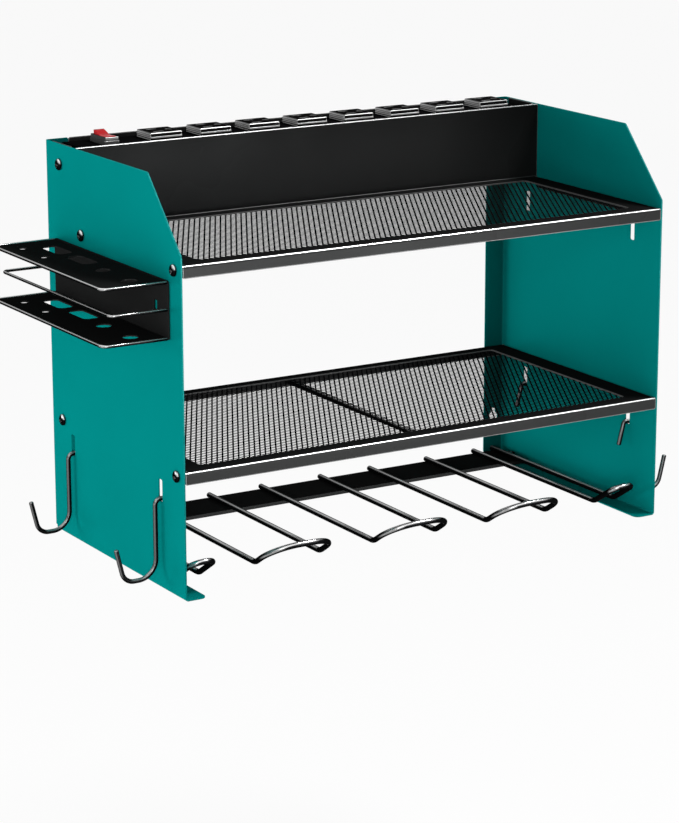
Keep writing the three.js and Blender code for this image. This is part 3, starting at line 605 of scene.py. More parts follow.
def buildPlaces(add, given):
    shape = add("GeometryNodeObjectInfo", {"Object": given["Shape"], "As Instance": True})
    facing = add("GeometryNodeInputNamedAttribute", {"Name": "facing"}, data_type="FLOAT_VECTOR")
    turn = add("FunctionNodeAlignRotationToVector", {"Vector": facing.outputs[0]}, axis="Z")
    return add("GeometryNodeInstanceOnPoints", {
        "Points": given["Geometry"], "Instance": shape.outputs["Geometry"], "Rotation": turn.outputs[0],
    }).outputs[0]


trees = {
    "sweep": newTree("wireAlongPath", {"Diameter": ("Float", 4.0), "Sides": ("Int", 20)}, buildSweep),
    "lattice": newTree("staggeredOpenings", {
        "Columns": ("Int", 10), "Rows": ("Int", 10), "Pitch": ("Float", 4.5), "Row pitch": ("Float", 4.1),
        "Corner": ("Vector", (0, 0, 0)), "Merge": ("Float", 0.02), "Seed": ("Int", 3),
        "Waviness": ("Float", 0.0)}, buildLattice),
    "places": newTree("shapeOnPlaces", {"Shape": ("Object", None)}, buildPlaces),
}


# Runs a node tree on an object and gives the result as a plain mesh. The object is used up.
def grown(source, treeName, values):
    tree, identifiers = trees[treeName]
    modifier = source.modifiers.new(treeName, "NODES")
    modifier.node_group = tree
    for label, value in values.items():
        modifier[identifiers[label]] = value
    mesh = evaluatedMesh(source)
    bpy.data.objects.remove(source)
    return mesh


def loose(name, data):
    holder = bpy.data.objects.new(name, data)
    bpy.context.scene.collection.objects.link(holder)
    return holder


# Round wires along paths. Their ends narrow over a reach in diameters, in steps of (how far in, how thick).
wireEnd = {"reach": 0.22, "steps": ((0, 0.56), (0.3, 0.83), (0.65, 0.955), (1, 1))}


def wires(paths, diameter, sides=20):
    reach, steps = diameter * wireEnd["reach"], wireEnd["steps"]
    curve = bpy.data.curves.new("wires", "CURVE")
    curve.dimensions = "3D"
    for path in paths:
        first, last = (path[1] - path[0]).normalized(), (path[-2] - path[-1]).normalized()
        run = [(path[0] + first * reach * share, thick) for share, thick in steps]
        run += [(place, 1) for place in path[1:-1]]
        run += [(path[-1] + last * reach * share, thick) for share, thick in reversed(steps)]
        spline = curve.splines.new("POLY")
        spline.points.add(len(run) - 1)
        for point, (place, thick) in zip(spline.points, run):
            point.co = (*place, 1)
            point.radius = thick
    return grown(loose("wires", curve), "sweep", {
        "Diameter": diameter, "Sides": sides, "Material": materials["blackWire"]})


# paints glint bands onto a wire, a painted highlight on its upright and upward faces
def withPaintedGlints(mesh, share=1):
    for band in ("upright", "top"):
        marked(mesh, "edge", glint(band, share))
    return mesh


# Copies of a mesh at (place, facing) pairs
def repeated(shape, places, finish):
    seats = bpy.data.meshes.new("seats")
    seats.from_pydata([place for place, _ in places], [], [])
    facing = seats.attributes.new("facing", "FLOAT_VECTOR", "POINT")
    facing.data.foreach_set("vector", [value for _, direction in places for value in direction])
    pattern, source = loose("pattern", shape), loose("seats", seats)
    mesh = grown(source, "places", {"Shape": pattern, "Material": materials[finish]})
    bpy.data.objects.remove(pattern)
    return mesh


# Side panels: one blank each, folded in at the back and at the foot

# On the panels, shine is a painted highlight along the chamfer's rim and the back and foot bends. The rims
# that face the front get painted shade, one share below the chamfer and another beside it.
panel = {
    "chamferRun": 50.4, "chamferRise": 54.3, "corner": 3, "backFlange": 19.1, "footFlange": 18.1,
    "footCorner": 5, "flangeCorner": 1, "slot": (5.8, 17, 1.4), "slotRows": (-183.0, -36.6),
    "slotBottoms": (68, 220.5), "keyhole": (9, 4.6, 8), "keyholeHeights": (34, 262),
    "screwPlaces": ((-210, 93.6), (-20, 93.6), (-210, 247.5), (-60.2, 247.5), (-24.5, 297)),
    "barScrew": (209.375, -22.7),
    "paintedShine": {"chamfer": 0.1, "back": 0.1, "foot": 0.2}, "shineRoom": 3, "paintedEdgeShade": (0.9, 0.8),
}


def makePanels():
    depth, height, relief = body["depth"], body["height"], body["relief"]
    chamferFoot, chamferHead = height - panel["chamferRise"], -depth + panel["chamferRun"]
    paintedShine, room, corner = panel["paintedShine"], panel["shineRoom"], panel["flangeCorner"]
    backEnd = unfolded(0, panel["backFlange"])
    footEnd = -unfolded(0, panel["footFlange"])
    outline = filleted([
        (-depth, footEnd), (-relief, footEnd), (-relief, relief), (backEnd, relief), (backEnd, height),
        (chamferHead, height), (-depth, chamferFoot),
    ], [panel["footCorner"], corner, 0, corner, corner, panel["corner"], panel["corner"]])
    wide, tall, slotCorner = panel["slot"]
    holes = [rectangle(y - wide / 2, y + wide / 2, z, z + tall, slotCorner)
             for y in panel["slotRows"] for z in panel["slotBottoms"]]
    holes += [disc(y, z, body["screwHole"]) for y, z in panel["screwPlaces"]]
    across = unfolded(0, panel["backFlange"] / 2)
    holes += [keyholeLoop(across, z, *panel["keyhole"]) for z in panel["keyholeHeights"]]
    x, y = panel["barScrew"]
    holes.append(disc(y, -unfolded(0, halfWidth - x), body["screwHole"]))

    # painted highlight along the chamfer's rim
    def paintedHighlightAt(y, z, _):
        return paintedShine["chamfer"] if z > chamferFoot - room and y < chamferHead + room else 0

    # painted shade on the rims that face the front
    def shadedEdge(place, normal):
        below, above = panel["paintedEdgeShade"]
        return 0 if normal.y >= -0.4 else below if place.z < chamferFoot else above

    for side, name in ((1, "right"), (-1, "left")):
        blank = plate([outline, *holes], body["sheet"], border=body["border"], paintedHighlightAt=paintedHighlightAt)
        back = (0, -bendOuter, 1, -1, relief, height, paintedShine["back"])
        foot = (1, bendOuter, -1, -1, -depth, -relief, paintedShine["foot"])
        mesh = fold(blank, body["sheet"], [back, foot])
        placed(mesh, ontoSide, shift(halfWidth - body["sheet"] / 2))
        marked(mesh, "deep", shadedEdge)
        if side < 0:
            placed(mesh, mirror)
        finished("panel_" + name, mesh, "tealPaint", ["side_panel_" + name])


makePanels()
print("side panels ready")


# Shelves: trays folded from one blank each

# On the shelves, shine is a painted highlight: a strong light line along the lip's bend and fainter ones
# elsewhere. Their shade is painted shade: the most on the trough's wall, less on the floor, none on the front
# lip.
shelf = {
    "lip": 9.6, "frontMargin": 14.4, "sideMargin": 20, "rearMargin": 12, "windowCorner": 4,
    "lowerTop": 98.4, "upperTop": 252.3, "troughDepth": 49.6, "edgeCorner": 1.5,
    "paintedShine": {"lip": 1, "bend": 0.1, "wallTop": 0.5, "side": 0.12, "rest": 0.06},
    "shade": {"wall": 0.95, "floor": 0.45},
}


def trayMesh(top, rear, rearOutside, rearHeight, rearUp, screwRows):
    depth, relief, lip, paintedShine = body["depth"], body["relief"], shelf["lip"], shelf["paintedShine"]
    endBend, frontBend, rearBend = shelfEnd - bendOuter, -depth + bendOuter, rearOutside - bendOuter
    endReach, frontReach = unfolded(shelfEnd, lip), unfolded(-depth, lip)
    rearReach = rearBend + bendRun + rearHeight - bendOuter
    half = [
        (shelfEnd, frontReach), (shelfEnd, frontBend), (endBend, frontBend), (endBend, -depth + relief),
        (endReach, -depth + relief), (endReach, rear - relief), (endBend, rear - relief), (endBend, rearBend),
        (shelfEnd, rearBend), (shelfEnd, rearReach),
    ]
    corner = shelf["edgeCorner"]
    radii = [corner, 0, 0, 0, corner, corner, 0, 0, 0, corner]
    outline = filleted(half + [(-x, y) for x, y in reversed(half)], radii + radii[::-1])
    inner = shelfEnd - shelf["sideMargin"]
    window = rectangle(-inner, inner, -depth + shelf["frontMargin"], rear - shelf["rearMargin"],
                       shelf["windowCorner"])
    across = unfolded(shelfEnd, lip / 2)
    holes = [disc(side * across, y, body["screwHole"]) for side in (1, -1) for y in screwRows]

    # painted highlight on the rims: brightest at the wall's top, fainter at the side margins and elsewhere
    def paintedHighlightAt(x, y, _):
        if rearUp > 0 and y > rearReach - 1:
            return paintedShine["wallTop"]
        return paintedShine["side"] if abs(x) > inner - 1 else paintedShine["rest"]

    # painted shade
    def shaded(place, normal):  # the front lip stays light, and the trough's wall is darkest
        shade = shelf["shade"]["wall" if place.z > 3 else "floor"]
        return 0 if place.y < -depth + 2 else shade

    blank = plate([outline, window, *holes], body["sheet"], border=body["border"], paintedHighlightAt=paintedHighlightAt)
    ends = [(0, side * endBend, side, -1, -depth + relief, rear - relief, paintedShine["bend"]) for side in (1, -1)]
    front = (1, frontBend, -1, -1, -shelfEnd, shelfEnd, paintedShine["lip"])
    back = (1, rearBend, 1, rearUp, -shelfEnd, shelfEnd, paintedShine["bend"])
    mesh = marked(fold(blank, body["sheet"], [*ends, front, back]), "deep", shaded)
    return placed(mesh, shift(z=top - body["sheet"] / 2))


def makeShelves():
    rows = [y for y, _ in panel["screwPlaces"]]
    lower = trayMesh(shelf["lowerTop"], behindFlange, behindFlange, shelf["lip"], -1, rows[:2])
    finished("lowerShelf", lower, "blackSheet", ["lower_shelf"])
    wallRise = body["height"] - shelf["upperTop"] + body["sheet"]
    wallOutside = -shelf["troughDepth"] + body["sheet"]
    upper = trayMesh(shelf["upperTop"], -shelf["troughDepth"], wallOutside, wallRise, 1, rows[2:4])
    finished("upperShelf", upper, "blackSheet", ["upper_shelf"])


makeShelves()
print("shelves ready")


# Nets: staggered diamond openings, their strands crowned, under the shelves' windows

net = {
    "thickness": 0.5, "lap": 4.5, "pitch": 4.55, "rowPitch": 4.15, "strand": 1.25, "crown": 0.12,
    "crownShare": 0.25, "merge": 0.02, "seed": 3, "waviness": 0.05,
}


# One opening with the halves of the strands around it
def netTile(pitch, rowPitch):
    across, along = pitch / 2, rowPitch
    toSide = across * along / math.hypot(across, along)
    inner = 1 - net["strand"] / 2 / toSide
    middle, half = (1 + inner) / 2, net["thickness"] / 2
    low, high = half - net["crown"], half - net["crown"] * net["crownShare"]
    levels = [(1, half), (middle, high), (inner, low), (inner, -low), (middle, -high), (1, -half)]
    corners = [(across, 0), (0, along), (-across, 0), (0, -along)]
    vertices = [(x * share, y * share, z) for share, z in levels for x, y in corners]
    faces = [(4 * level + k, 4 * level + (k + 1) % 4, 4 * level + 4 + (k + 1) % 4, 4 * level + 4 + k)
             for level in range(len(levels) - 1) for k in range(4)]
    mesh = bpy.data.meshes.new("tile")
    mesh.from_pydata(vertices, [], [face[::-1] for face in faces])
    return mesh


# Walls the cut strands round a net's rim: each open edge on top gets a face down to the one below it
def closeRims(mesh):
    made = bmesh.new()
    made.from_mesh(mesh)
    middle = sum(v.co.z for v in made.verts) / len(made.verts)

    def spot(v):
        return round(v.co.x, 1), round(v.co.y, 1)

    rim = [edge for edge in made.edges if edge.is_boundary]
    below = {spot(v): v for edge in rim for v in edge.verts if v.co.z < middle}
    for edge in rim:
        a, b = edge.verts
        if a.co.z > middle:
            made.faces.new((a, b, below[spot(b)], below[spot(a)]))
    bmesh.ops.recalc_face_normals(made, faces=made.faces[:])
    made.to_mesh(mesh)
    made.free()


def makeNet(name, node, top, rear):
    inner = shelfEnd - shelf["sideMargin"] + net["lap"]
    low, high = -body["depth"] + shelf["frontMargin"] - net["lap"], rear - shelf["rearMargin"] + net["lap"]
    columns = int(2 * inner / net["pitch"] - 0.5)
    rows = int((high - low) / net["rowPitch"]) - 1
    pitch = 2 * inner / (columns + 0.5)
    rowPitch = (high - low) / (rows + 1)
    corner = (-inner + pitch / 2, low + rowPitch, top - body["sheet"] - net["thickness"] / 2)
    mesh = grown(loose("tile", netTile(pitch, rowPitch)), "lattice", {
        "Columns": columns, "Rows": rows, "Pitch": pitch, "Row pitch": rowPitch, "Corner": corner,
        "Merge": net["merge"], "Seed": net["seed"], "Waviness": net["waviness"],
        "Material": materials["blackNet"]})
    closeRims(mesh)
    finished(name, mesh, "blackNet", [node], even=False)
    print(name, "has", columns * rows, "openings")


makeNet("upperNet", "upper_net", shelf["upperTop"], -shelf["troughDepth"])
makeNet("lowerNet", "lower_net", shelf["lowerTop"], behindFlange)

rod = {"diameter": 5, "drop": 1.5}  # the drop leaves room for the net


def makeRod():
    z = shelf["lowerTop"] - body["sheet"] - rod["drop"] - body["gap"] - rod["diameter"] / 2
    front, rear = -body["depth"] + body["sheet"] + body["gap"], behindFlange - body["sheet"] - body["gap"]
    path = [Vector((0, y, z)) for y in (front, -body["depth"] / 2, rear)]
    mesh = withPaintedGlints(wires([path], rod["diameter"]))
    finished("shelfRod", mesh, "blackWire", ["lower_shelf_rod"], even=False)


makeRod()
print("nets and rod ready")


# Power channel: floor, rear wall with keyholes, low front edge and end tabs

channel = {
    "floor": 278.4, "frontRise": 12, "frontCorner": 1.5, "corner": 2, "tabInset": 5, "slit": 1.2,
    "keyholes": (120, 294), "wallEnd": 195.6, "paintedShine": {"rim": 0.15, "bend": 0.1},
}


def makeChannel():
    height = body["height"] - channel["floor"] + body["sheet"]
    frontOutside = -(shelf["troughDepth"] - body["sheet"] - body["gap"])
    frontMiddle = frontOutside + body["sheet"] / 2
    frontBend, endBend = frontOutside + bendOuter, shelfEnd - bendOuter
    frontReach = frontBend - bendRun - (channel["frontRise"] + body["sheet"] - bendOuter)
    rearReach = -bendOuter + bendRun + height - bendOuter
    endReach, wallEnd = unfolded(shelfEnd, height), channel["wallEnd"]
    tabFront, tabRear = frontMiddle + channel["tabInset"], behindFlange - channel["tabInset"]
    slitFront, slitRear = tabFront - channel["slit"], tabRear + channel["slit"]
    half = [
        (shelfEnd, frontReach), (shelfEnd, slitFront), (endBend, slitFront), (endBend, tabFront),
        (endReach, tabFront), (endReach, tabRear), (endBend, tabRear), (endBend, slitRear),
        (shelfEnd, slitRear), (shelfEnd, behindFlange), (wallEnd, behindFlange), (wallEnd, rearReach),
    ]
    corner, paintedShine = channel["corner"], channel["paintedShine"]
    radii = [channel["frontCorner"], 0, 0, 0, corner, corner, 0, 0, 0, 0, 0, corner]
    outline = filleted(half + [(-x, y) for x, y in reversed(half)], radii + radii[::-1])
    x, z = channel["keyholes"]
    up = -bendOuter + bendRun + (z - channel["floor"] + body["sheet"]) - bendOuter
    holes = [keyholeLoop(side * x, up, *panel["keyhole"]) for side in (1, -1)]
    y, z = panel["screwPlaces"][-1]
    across = unfolded(shelfEnd, z - channel["floor"] + body["sheet"])
    holes += [disc(side * across, y, body["screwHole"]) for side in (1, -1)]
    # a faint painted highlight on every rim, and on each bend
    blank = plate([outline, *holes], body["sheet"], border=body["border"], paintedHighlightAt=lambda x, y, _: paintedShine["rim"])
    ends = [(0, side * endBend, side, 1, tabFront, tabRear, paintedShine["bend"]) for side in (1, -1)]
    front = (1, frontBend, -1, 1, -shelfEnd, shelfEnd, paintedShine["bend"])
    back = (1, -bendOuter, 1, 1, -wallEnd, wallEnd, paintedShine["bend"])
    mesh = fold(blank, body["sheet"], [*ends, front, back])
    placed(mesh, shift(z=channel["floor"] - body["sheet"] / 2))
    finished("powerChannel", mesh, "blackSheet", ["power_channel"])


makeChannel()
print("power channel ready")


# Power strip: two shells, end caps, outlets and the switch

strip = {
    "left": -200, "right": 197, "front": -45, "back": -4, "bottom": 278.7, "rise": 32, "corner": 1.5,
    "wall": 2, "wallBend": 0.1, "wallSteps": 5, "cap": 2.4, "capRim": 0.5,
}
# The outlets' shine is painted light: a highlight line on the front rims, a faint one round the holes, lighter
# ribbed sides and light lines on the ribs.
outlet = {
    "count": 8, "first": -128.4, "pitch": 43.786, "wide": 27.6, "deep": 26.4, "rise": 5.8, "tierRise": 2.9,
    "tierInset": 1.3, "corner": 2, "blade": (8, 2.2), "bladeSpacing": 12.7, "bladeCorner": 0.3, "earth": 5,
    "earthOffset": 11.9, "earthSides": 28, "lap": 0.4, "rim": 0.2, "borders": (0.45, 1.1), "soleDrop": 1,
    "paintedShine": {"front": 0.62, "top": 0.16, "side": 0.26, "rib": 0.7},
}
rib = {"rise": 0.7, "reach": 0.35, "drops": (1.0, 2.4, 3.8, 5.2), "half": 0.8, "inset": 0.2, "corner": 0.3,
       "rim": 0.12, "border": 0.2}
# What the outlets and the switch share: the corners of tier and neck, and what lies below the cover
module = {"tierCorner": 0.5, "neckCorner": 0.7, "below": 4, "soleReach": 1.8, "sole": 2, "soleRim": 0.3}
stripTop = strip["bottom"] + strip["rise"]
stripMiddle = (strip["front"] + strip["back"]) / 2
inletMiddle = (stripMiddle, (strip["bottom"] + stripTop) / 2)
outletTop = stripTop + outlet["rise"]
outletPlaces = [outlet["first"] + k * outlet["pitch"] for k in range(outlet["count"])]
switch = {
    "x": -175.9, "wide": 12.5, "tierInset": 0.4, "endInset": 0.6, "clearance": 0.35, "tilt": 8,
    "lap": 0.2, "rim": 0.15, "borders": (0.15, 0.15), "soleDrop": 3.2, "paintedShine": {"front": 0.62, "rest": 0.1},
    "rocker": (9.2, 22), "rockerTop": 4.7, "rockerDip": 1.6, "dishSteps": 16, "keel": 5,
    "keelCorners": (0.6, 2), "rockerRim": 0.45, "pivotDrop": 3, "pin": (2.4, 0.9), "pinSides": 20,
}
inlet = {
    "hole": 13.6, "sunk": 1.9, "bore": 3.75, "flange": 8.1, "flangeThickness": 1.6, "neck": 6.5,
    "length": 8, "corners": (0.3, 0.4, 0.4, 0.3, 0.8, 0.8), "sides": 36,
}


# Half of the strip's shell: its broad side with two folded walls
def stripShell(up, holes):
    radius, thickness = strip["wallBend"], strip["wall"]
    outer = radius + thickness
    reach = strip["rise"] / 2 - body["gap"] / 2
    front, back = strip["front"] + outer, strip["back"] - outer
    beyond = (radius + thickness / 2) * math.pi / 2 + reach - outer
    outline = rectangle(strip["left"], strip["right"], front - beyond, back + beyond)
    blank = plate([outline, *holes], thickness)
    span = (up, strip["left"], strip["right"], 0)
    mesh = fold(blank, thickness, [(1, front, -1, *span), (1, back, 1, *span)], radius, strip["wallSteps"])
    middle = stripTop - thickness / 2 if up < 0 else strip["bottom"] + thickness / 2
    return placed(mesh, shift(z=middle))


def makeShells():
    finished("stripBase", stripShell(1, []), "stripPlastic", ["strip_base"])
    gap = body["gap"]
    deep = outlet["deep"] / 2 + gap
    wide = [(x, outlet["wide"] / 2 + gap) for x in outletPlaces] + [(switch["x"], switch["wide"] / 2 + gap)]
    holes = [rectangle(x - half, x + half, stripMiddle - deep, stripMiddle + deep, outlet["corner"])
             for x, half in wide]
    finished("stripCover", stripShell(-1, holes), "stripPlastic", ["strip_cover"])


def makeCaps():
    outline = rectangle(strip["front"], strip["back"], strip["bottom"], stripTop, strip["corner"])
    for name, x, holes in (
        ("right", strip["right"] + body["gap"] + strip["cap"] / 2, [disc(*inletMiddle, inlet["hole"])]),
        ("left", strip["left"] - body["gap"] - strip["cap"] / 2, []),
    ):
        mesh = placed(plate([outline, *holes], strip["cap"], strip["capRim"], 3), ontoSide, shift(x))
        finished("stripCap_" + name, mesh, "stripPlastic", ["strip_cap_" + name])


def makeInlet():
    bore, flange, lip, neck = inlet["bore"], inlet["flange"], inlet["flangeThickness"], inlet["neck"]
    profile = filleted([(bore, 0), (flange, 0), (flange, lip), (neck, lip), (neck, inlet["length"]),
                        (bore, inlet["length"])], inlet["corners"])
    bush = turned([(p.x, p.y) for p in profile], inlet["sides"], closed=True)
    start = strip["right"] + body["gap"] - inlet["sunk"]
    placed(bush, Matrix.Rotation(math.pi / 2, 4, "Y"), shift(start, *inletMiddle))
    finished("cordInlet", bush, "outletPlastic", ["cord_inlet"])


# An outlet or the switch's block about its own middle, its top at zero: a tier, a neck that fills the hole in
# the cover, and a sole that is wider than the hole. Tier and neck are given as half sizes in x and y.
def moduleMesh(kind, tier, neck, holes, paintedHighlightAt):
    tierRise, rise, corner = outlet["tierRise"], outlet["rise"], outlet["corner"]
    tierTall, neckTall = tierRise + kind["lap"], rise + module["below"] - tierRise
    tierBorder, neckBorder = kind["borders"]
    parts = []
    for (x, y), radius, tall, border, z in (
        (tier, module["tierCorner"], tierTall, tierBorder, -tierTall / 2),
        (neck, module["neckCorner"], neckTall, neckBorder, -tierRise - neckTall / 2),
    ):
        block = plate([rectangle(-x, x, -y, y, radius), *holes], tall, kind["rim"], border=border, paintedHighlightAt=paintedHighlightAt)
        parts.append(placed(block, shift(z=z)))
    x, y = kind["wide"] / 2 + module["soleReach"], outlet["deep"] / 2 + module["soleReach"]
    sole = plate([rectangle(-x, x, -y, y, corner)], module["sole"], module["soleRim"])
    return parts + [placed(sole, shift(z=-rise - module["below"] - kind["soleDrop"]))]


def outletMesh():
    wide, deep, paintedShine = outlet["wide"] / 2, outlet["deep"] / 2, outlet["paintedShine"]
    flank, front = wide - rib["reach"], deep - outlet["tierInset"]
    (long, thin), spacing, corner = outlet["blade"], outlet["bladeSpacing"] / 2, outlet["bladeCorner"]
    x = -outlet["earthOffset"] / 3
    holes = [rectangle(x - long / 2, x + long / 2, y - thin / 2, y + thin / 2, corner)
             for y in (spacing, -spacing)]
    holes.append(disc(x + outlet["earthOffset"], 0, outlet["earth"], outlet["earthSides"]))

    # painted highlight shares
    def paintedHighlightAt(x, y, z):
        if abs(x) > flank - 0.8 and abs(y) < front - 0.3:  # along the ribbed sides
            return paintedShine["side"]
        if abs(x) < flank - 2 and abs(y) < deep - 3:  # round the holes
            return paintedShine["top"] if z > 0 else 0
        return paintedShine["front"] if z > 0 and y < 0.1 - front else 0

    parts = moduleMesh(outlet, (flank, front), (flank, deep), holes, paintedHighlightAt)
    half, end = rib["half"], front - rib["inset"]
    for drop in rib["drops"]:
        for x in (half - wide, wide - half):
            outline = rectangle(x - half, x + half, -end, end, rib["corner"])
            ribbed = plate([outline], rib["rise"], rib["rim"], border=rib["border"], paintedHighlightAt=lambda x, y, z: 0)
            # painted highlight over each rib
            marked(ribbed, "edge", lambda place, normal: paintedShine["rib"])
            parts.append(placed(ribbed, shift(z=-drop)))
    return joined(*parts)


def makeOutlets():
    seats = [((x, stripMiddle, outletTop), (0, 0, 1)) for x in outletPlaces]
    mesh = repeated(outletMesh(), seats, "outletPlastic")
    finished("outlets", mesh, "outletPlastic", ["outlet_%d" % (k + 1) for k in range(outlet["count"])])


def makeSwitch():
    wide, deep, clear = switch["wide"] / 2, outlet["deep"] / 2, switch["clearance"]
    rockerWide, rockerLong = switch["rocker"]
    lean = math.radians(switch["tilt"])
    pocket = rockerLong / 2 * math.cos(lean) + switch["rockerTop"] * math.sin(lean) + clear
    hole = rectangle(-rockerWide / 2 - clear, rockerWide / 2 + clear, -pocket, pocket)
    front = deep - switch["endInset"]  # past the pocket's end, or the plate would fill the pocket

    # painted highlight: a light line on the front rims, a faint one elsewhere
    def paintedHighlightAt(x, y, z):
        return switch["paintedShine"]["front" if z > 0 and y < 0.1 - front else "rest"]

    tier, neck = (wide - switch["tierInset"], front), (wide, deep)
    block = joined(*moduleMesh(switch, tier, neck, [hole], paintedHighlightAt))
    placed(block, shift(switch["x"], stripMiddle, outletTop))
    finished("switchBlock", block, "outletPlastic", ["switch_block"])

    half, keel, steps = rockerLong / 2, switch["keel"], switch["dishSteps"]
    tip, heel = switch["keelCorners"]
    dish = []
    for y in (half - k * rockerLong / steps for k in range(steps + 1)):
        dish.append((y, switch["rockerTop"] - switch["rockerDip"] * (1 + math.cos(math.pi * y / half)) / 2))
    under = filleted([(-half, 0), (-half / 2, -keel), (half / 2, -keel), (half, 0)], [tip, heel, heel, tip])
    paddle = plate([under + dish], rockerWide, switch["rockerRim"], 3)
    pinWide, pinReach = switch["pin"]
    pin = plate([disc(0, 0, pinWide, switch["pinSides"])], rockerWide + 2 * pinReach, 0.2)
    pivot = shift(switch["x"], stripMiddle, outletTop - switch["pivotDrop"])
    rocker = placed(joined(paddle, pin), ontoSide, Matrix.Rotation(lean, 4, "X"), pivot)
    finished("rocker", rocker, "redPlastic", ["rocker_switch"], ridesOn="rocker")


makeShells()
makeCaps()
makeInlet()
makeOutlets()
makeSwitch()
for name in ("line", "earth", "neutral"):
    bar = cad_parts["bus_bar_" + name]
    bar.data.materials.clear()
    bar.data.materials.append(materials["contactBrass"])
print("power strip ready")


# Drill loops and the bar that carries them

loops = {
    "wire": 4.5, "sides": 24, "middles": (-105.8, 0, 105.8), "width": 57, "corner": 23,
    "half": (183.1, 202.7), "halfCorner": 9.3, "bendInset": 38.6, "slope": 33, "tilt": 32.6, "bend": 12,
    "arcDegrees": 6, "barDepth": 40, "barThickness": 3, "barCorner": 2,
}


def loopPath(x0, x1, corner):
    tilt = math.radians(loops["tilt"])
    level = body["sheet"] + loops["barThickness"] + 2 * body["gap"] + loops["wire"] / 2
    rear, bend = behindFlange - body["gap"], -body["depth"] + loops["bendInset"]
    tipY, tipZ = bend - loops["slope"] * math.cos(tilt), level + loops["slope"] * math.sin(tilt)
    run = [(x0, rear, level), (x0, bend, level), (x0, tipY, tipZ),
           (x1, tipY, tipZ), (x1, bend, level), (x1, rear, level)]
    radii = [0, loops["bend"], corner, corner, loops["bend"], 0]
    return filleted(run, radii, loops["arcDegrees"], closed=False)


def makeLoops():
    half = loops["width"] / 2
    inner, outer = loops["half"]
    spans = [(-outer, -inner, loops["halfCorner"])]
    spans += [(x - half, x + half, loops["corner"]) for x in loops["middles"]]
    spans.append((inner, outer, loops["halfCorner"]))
    mesh = withPaintedGlints(wires([loopPath(*span) for span in spans], loops["wire"], loops["sides"]))
    nodes = ["drill_loop_%d" % (k + 1) for k in range(len(spans))]
    finished("drillLoops", mesh, "blackWire", nodes, even=False)
    x, y = panel["barScrew"]
    end = panelInside - body["bendRadius"] - body["gap"]
    outline = rectangle(-end, end, behindFlange - loops["barDepth"], behindFlange, loops["barCorner"])
    holes = [disc(side * x, y, body["screwHole"]) for side in (1, -1)]
    blank = plate([outline, *holes], loops["barThickness"])
    placed(blank, shift(z=body["sheet"] + body["gap"] + loops["barThickness"] / 2))
    finished("loopBar", blank, "blackSheet", ["loop_bar"])


makeLoops()
print("drill loops ready")


# Hooks that hang in the panels' lower slots

# A hook's shine scales the painted glints on its wire.
hook = {
    "wire": 3.6, "offset": 4.6, "tailReach": 9.4, "tailDrop": 19, "bottom": 9.6, "reach": 26.6,
    "tipLean": 6.5, "tipRise": 26.5, "bend": 4.6, "frontBend": 10, "shankBend": 15, "arcDegrees": 6,
    "paintedShine": 0.45,
}


def makeHooks():
    shank, bend, bottom = halfWidth + hook["offset"], hook["bend"], hook["bottom"]
    top = panel["slotBottoms"][0] + body["gap"] + hook["wire"] / 2
    reach = shank + hook["reach"]
    radii = [0, bend / 2, bend, hook["shankBend"], hook["frontBend"], 0]
    for row, y in zip(("front", "rear"), panel["slotRows"]):
        run = [
            (halfWidth - hook["tailReach"], y, top - hook["tailDrop"]), (shank - 2 * bend, y, top),
            (shank, y, top), (shank, y, bottom), (reach, y, bottom),
            (reach + hook["tipLean"], y, bottom + hook["tipRise"]),
        ]
        path = filleted(run, radii, hook["arcDegrees"], closed=False)
        for side, name in ((1, "right"), (-1, "left")):
            mesh = wires([path], hook["wire"])
            if side < 0:
                placed(mesh, mirror)
            place = "%s_%s" % (name, row)
            finished("hook_%s_wire" % place, withPaintedGlints(mesh, hook["paintedShine"]), "blackWire", ["hook_" + place],
                     ridesOn=place + "_hook", even=False)


makeHooks()
print("hooks ready")


# Rack on the left side: back plate on two tongues, two plates with holes, three hoops

rack = {
    "front": -203, "rear": -15, "out": -270, "top": 237.2, "middle": 217, "bottom": 195.5, "wire": 2.4,
    "wireSides": 16, "corner": 6, "backCorner": 2.4, "middleInset": 7, "driverHole": 12,
    "driverShares": (0.1, 0.33), "driverOut": 0.4, "gripSlot": (13, 32), "gripShares": (0.55, 0.78),
    "gripOut": 1 / 3, "bitHole": 7, "bitShares": (0.68, 0.88), "bitOut": 0.7,
    "tongue": 4.4, "tongueDrop": 6, "tongueBend": 0.5, "tongueArc": 12, "tongueRim": 0.15, "tongueRoom": 0.02,
}
rackBackOut = -(halfWidth + body["gap"] + body["sheet"])


# A strip of the back plate's sheet, bent through a slot of the panel and down behind it
def tongueMesh(y, seat, lowest):
    sheet, bend = body["sheet"], rack["tongueBend"] + body["sheet"] / 2
    outside, inside = rackBackOut + sheet / 2, -(panelInside - body["gap"] - sheet / 2)
    course = filleted([(outside, seat + 0.4), (outside, seat), (inside, seat), (inside, lowest)],
                      [0, 0, bend, 0], rack["tongueArc"], closed=False)
    left, right = [], []
    for k, p in enumerate(course):
        ahead = (course[min(k + 1, len(course) - 1)] - course[max(k - 1, 0)]).normalized()
        side = Vector((-ahead.y, ahead.x)) * (sheet / 2 - rack["tongueRoom"])
        left.append(p + side)
        right.append(p - side)
    tongue = plate([left[1:] + right[1:][::-1]], rack["tongue"], rack["tongueRim"])
    return placed(tongue, ontoFront, shift(y=y))


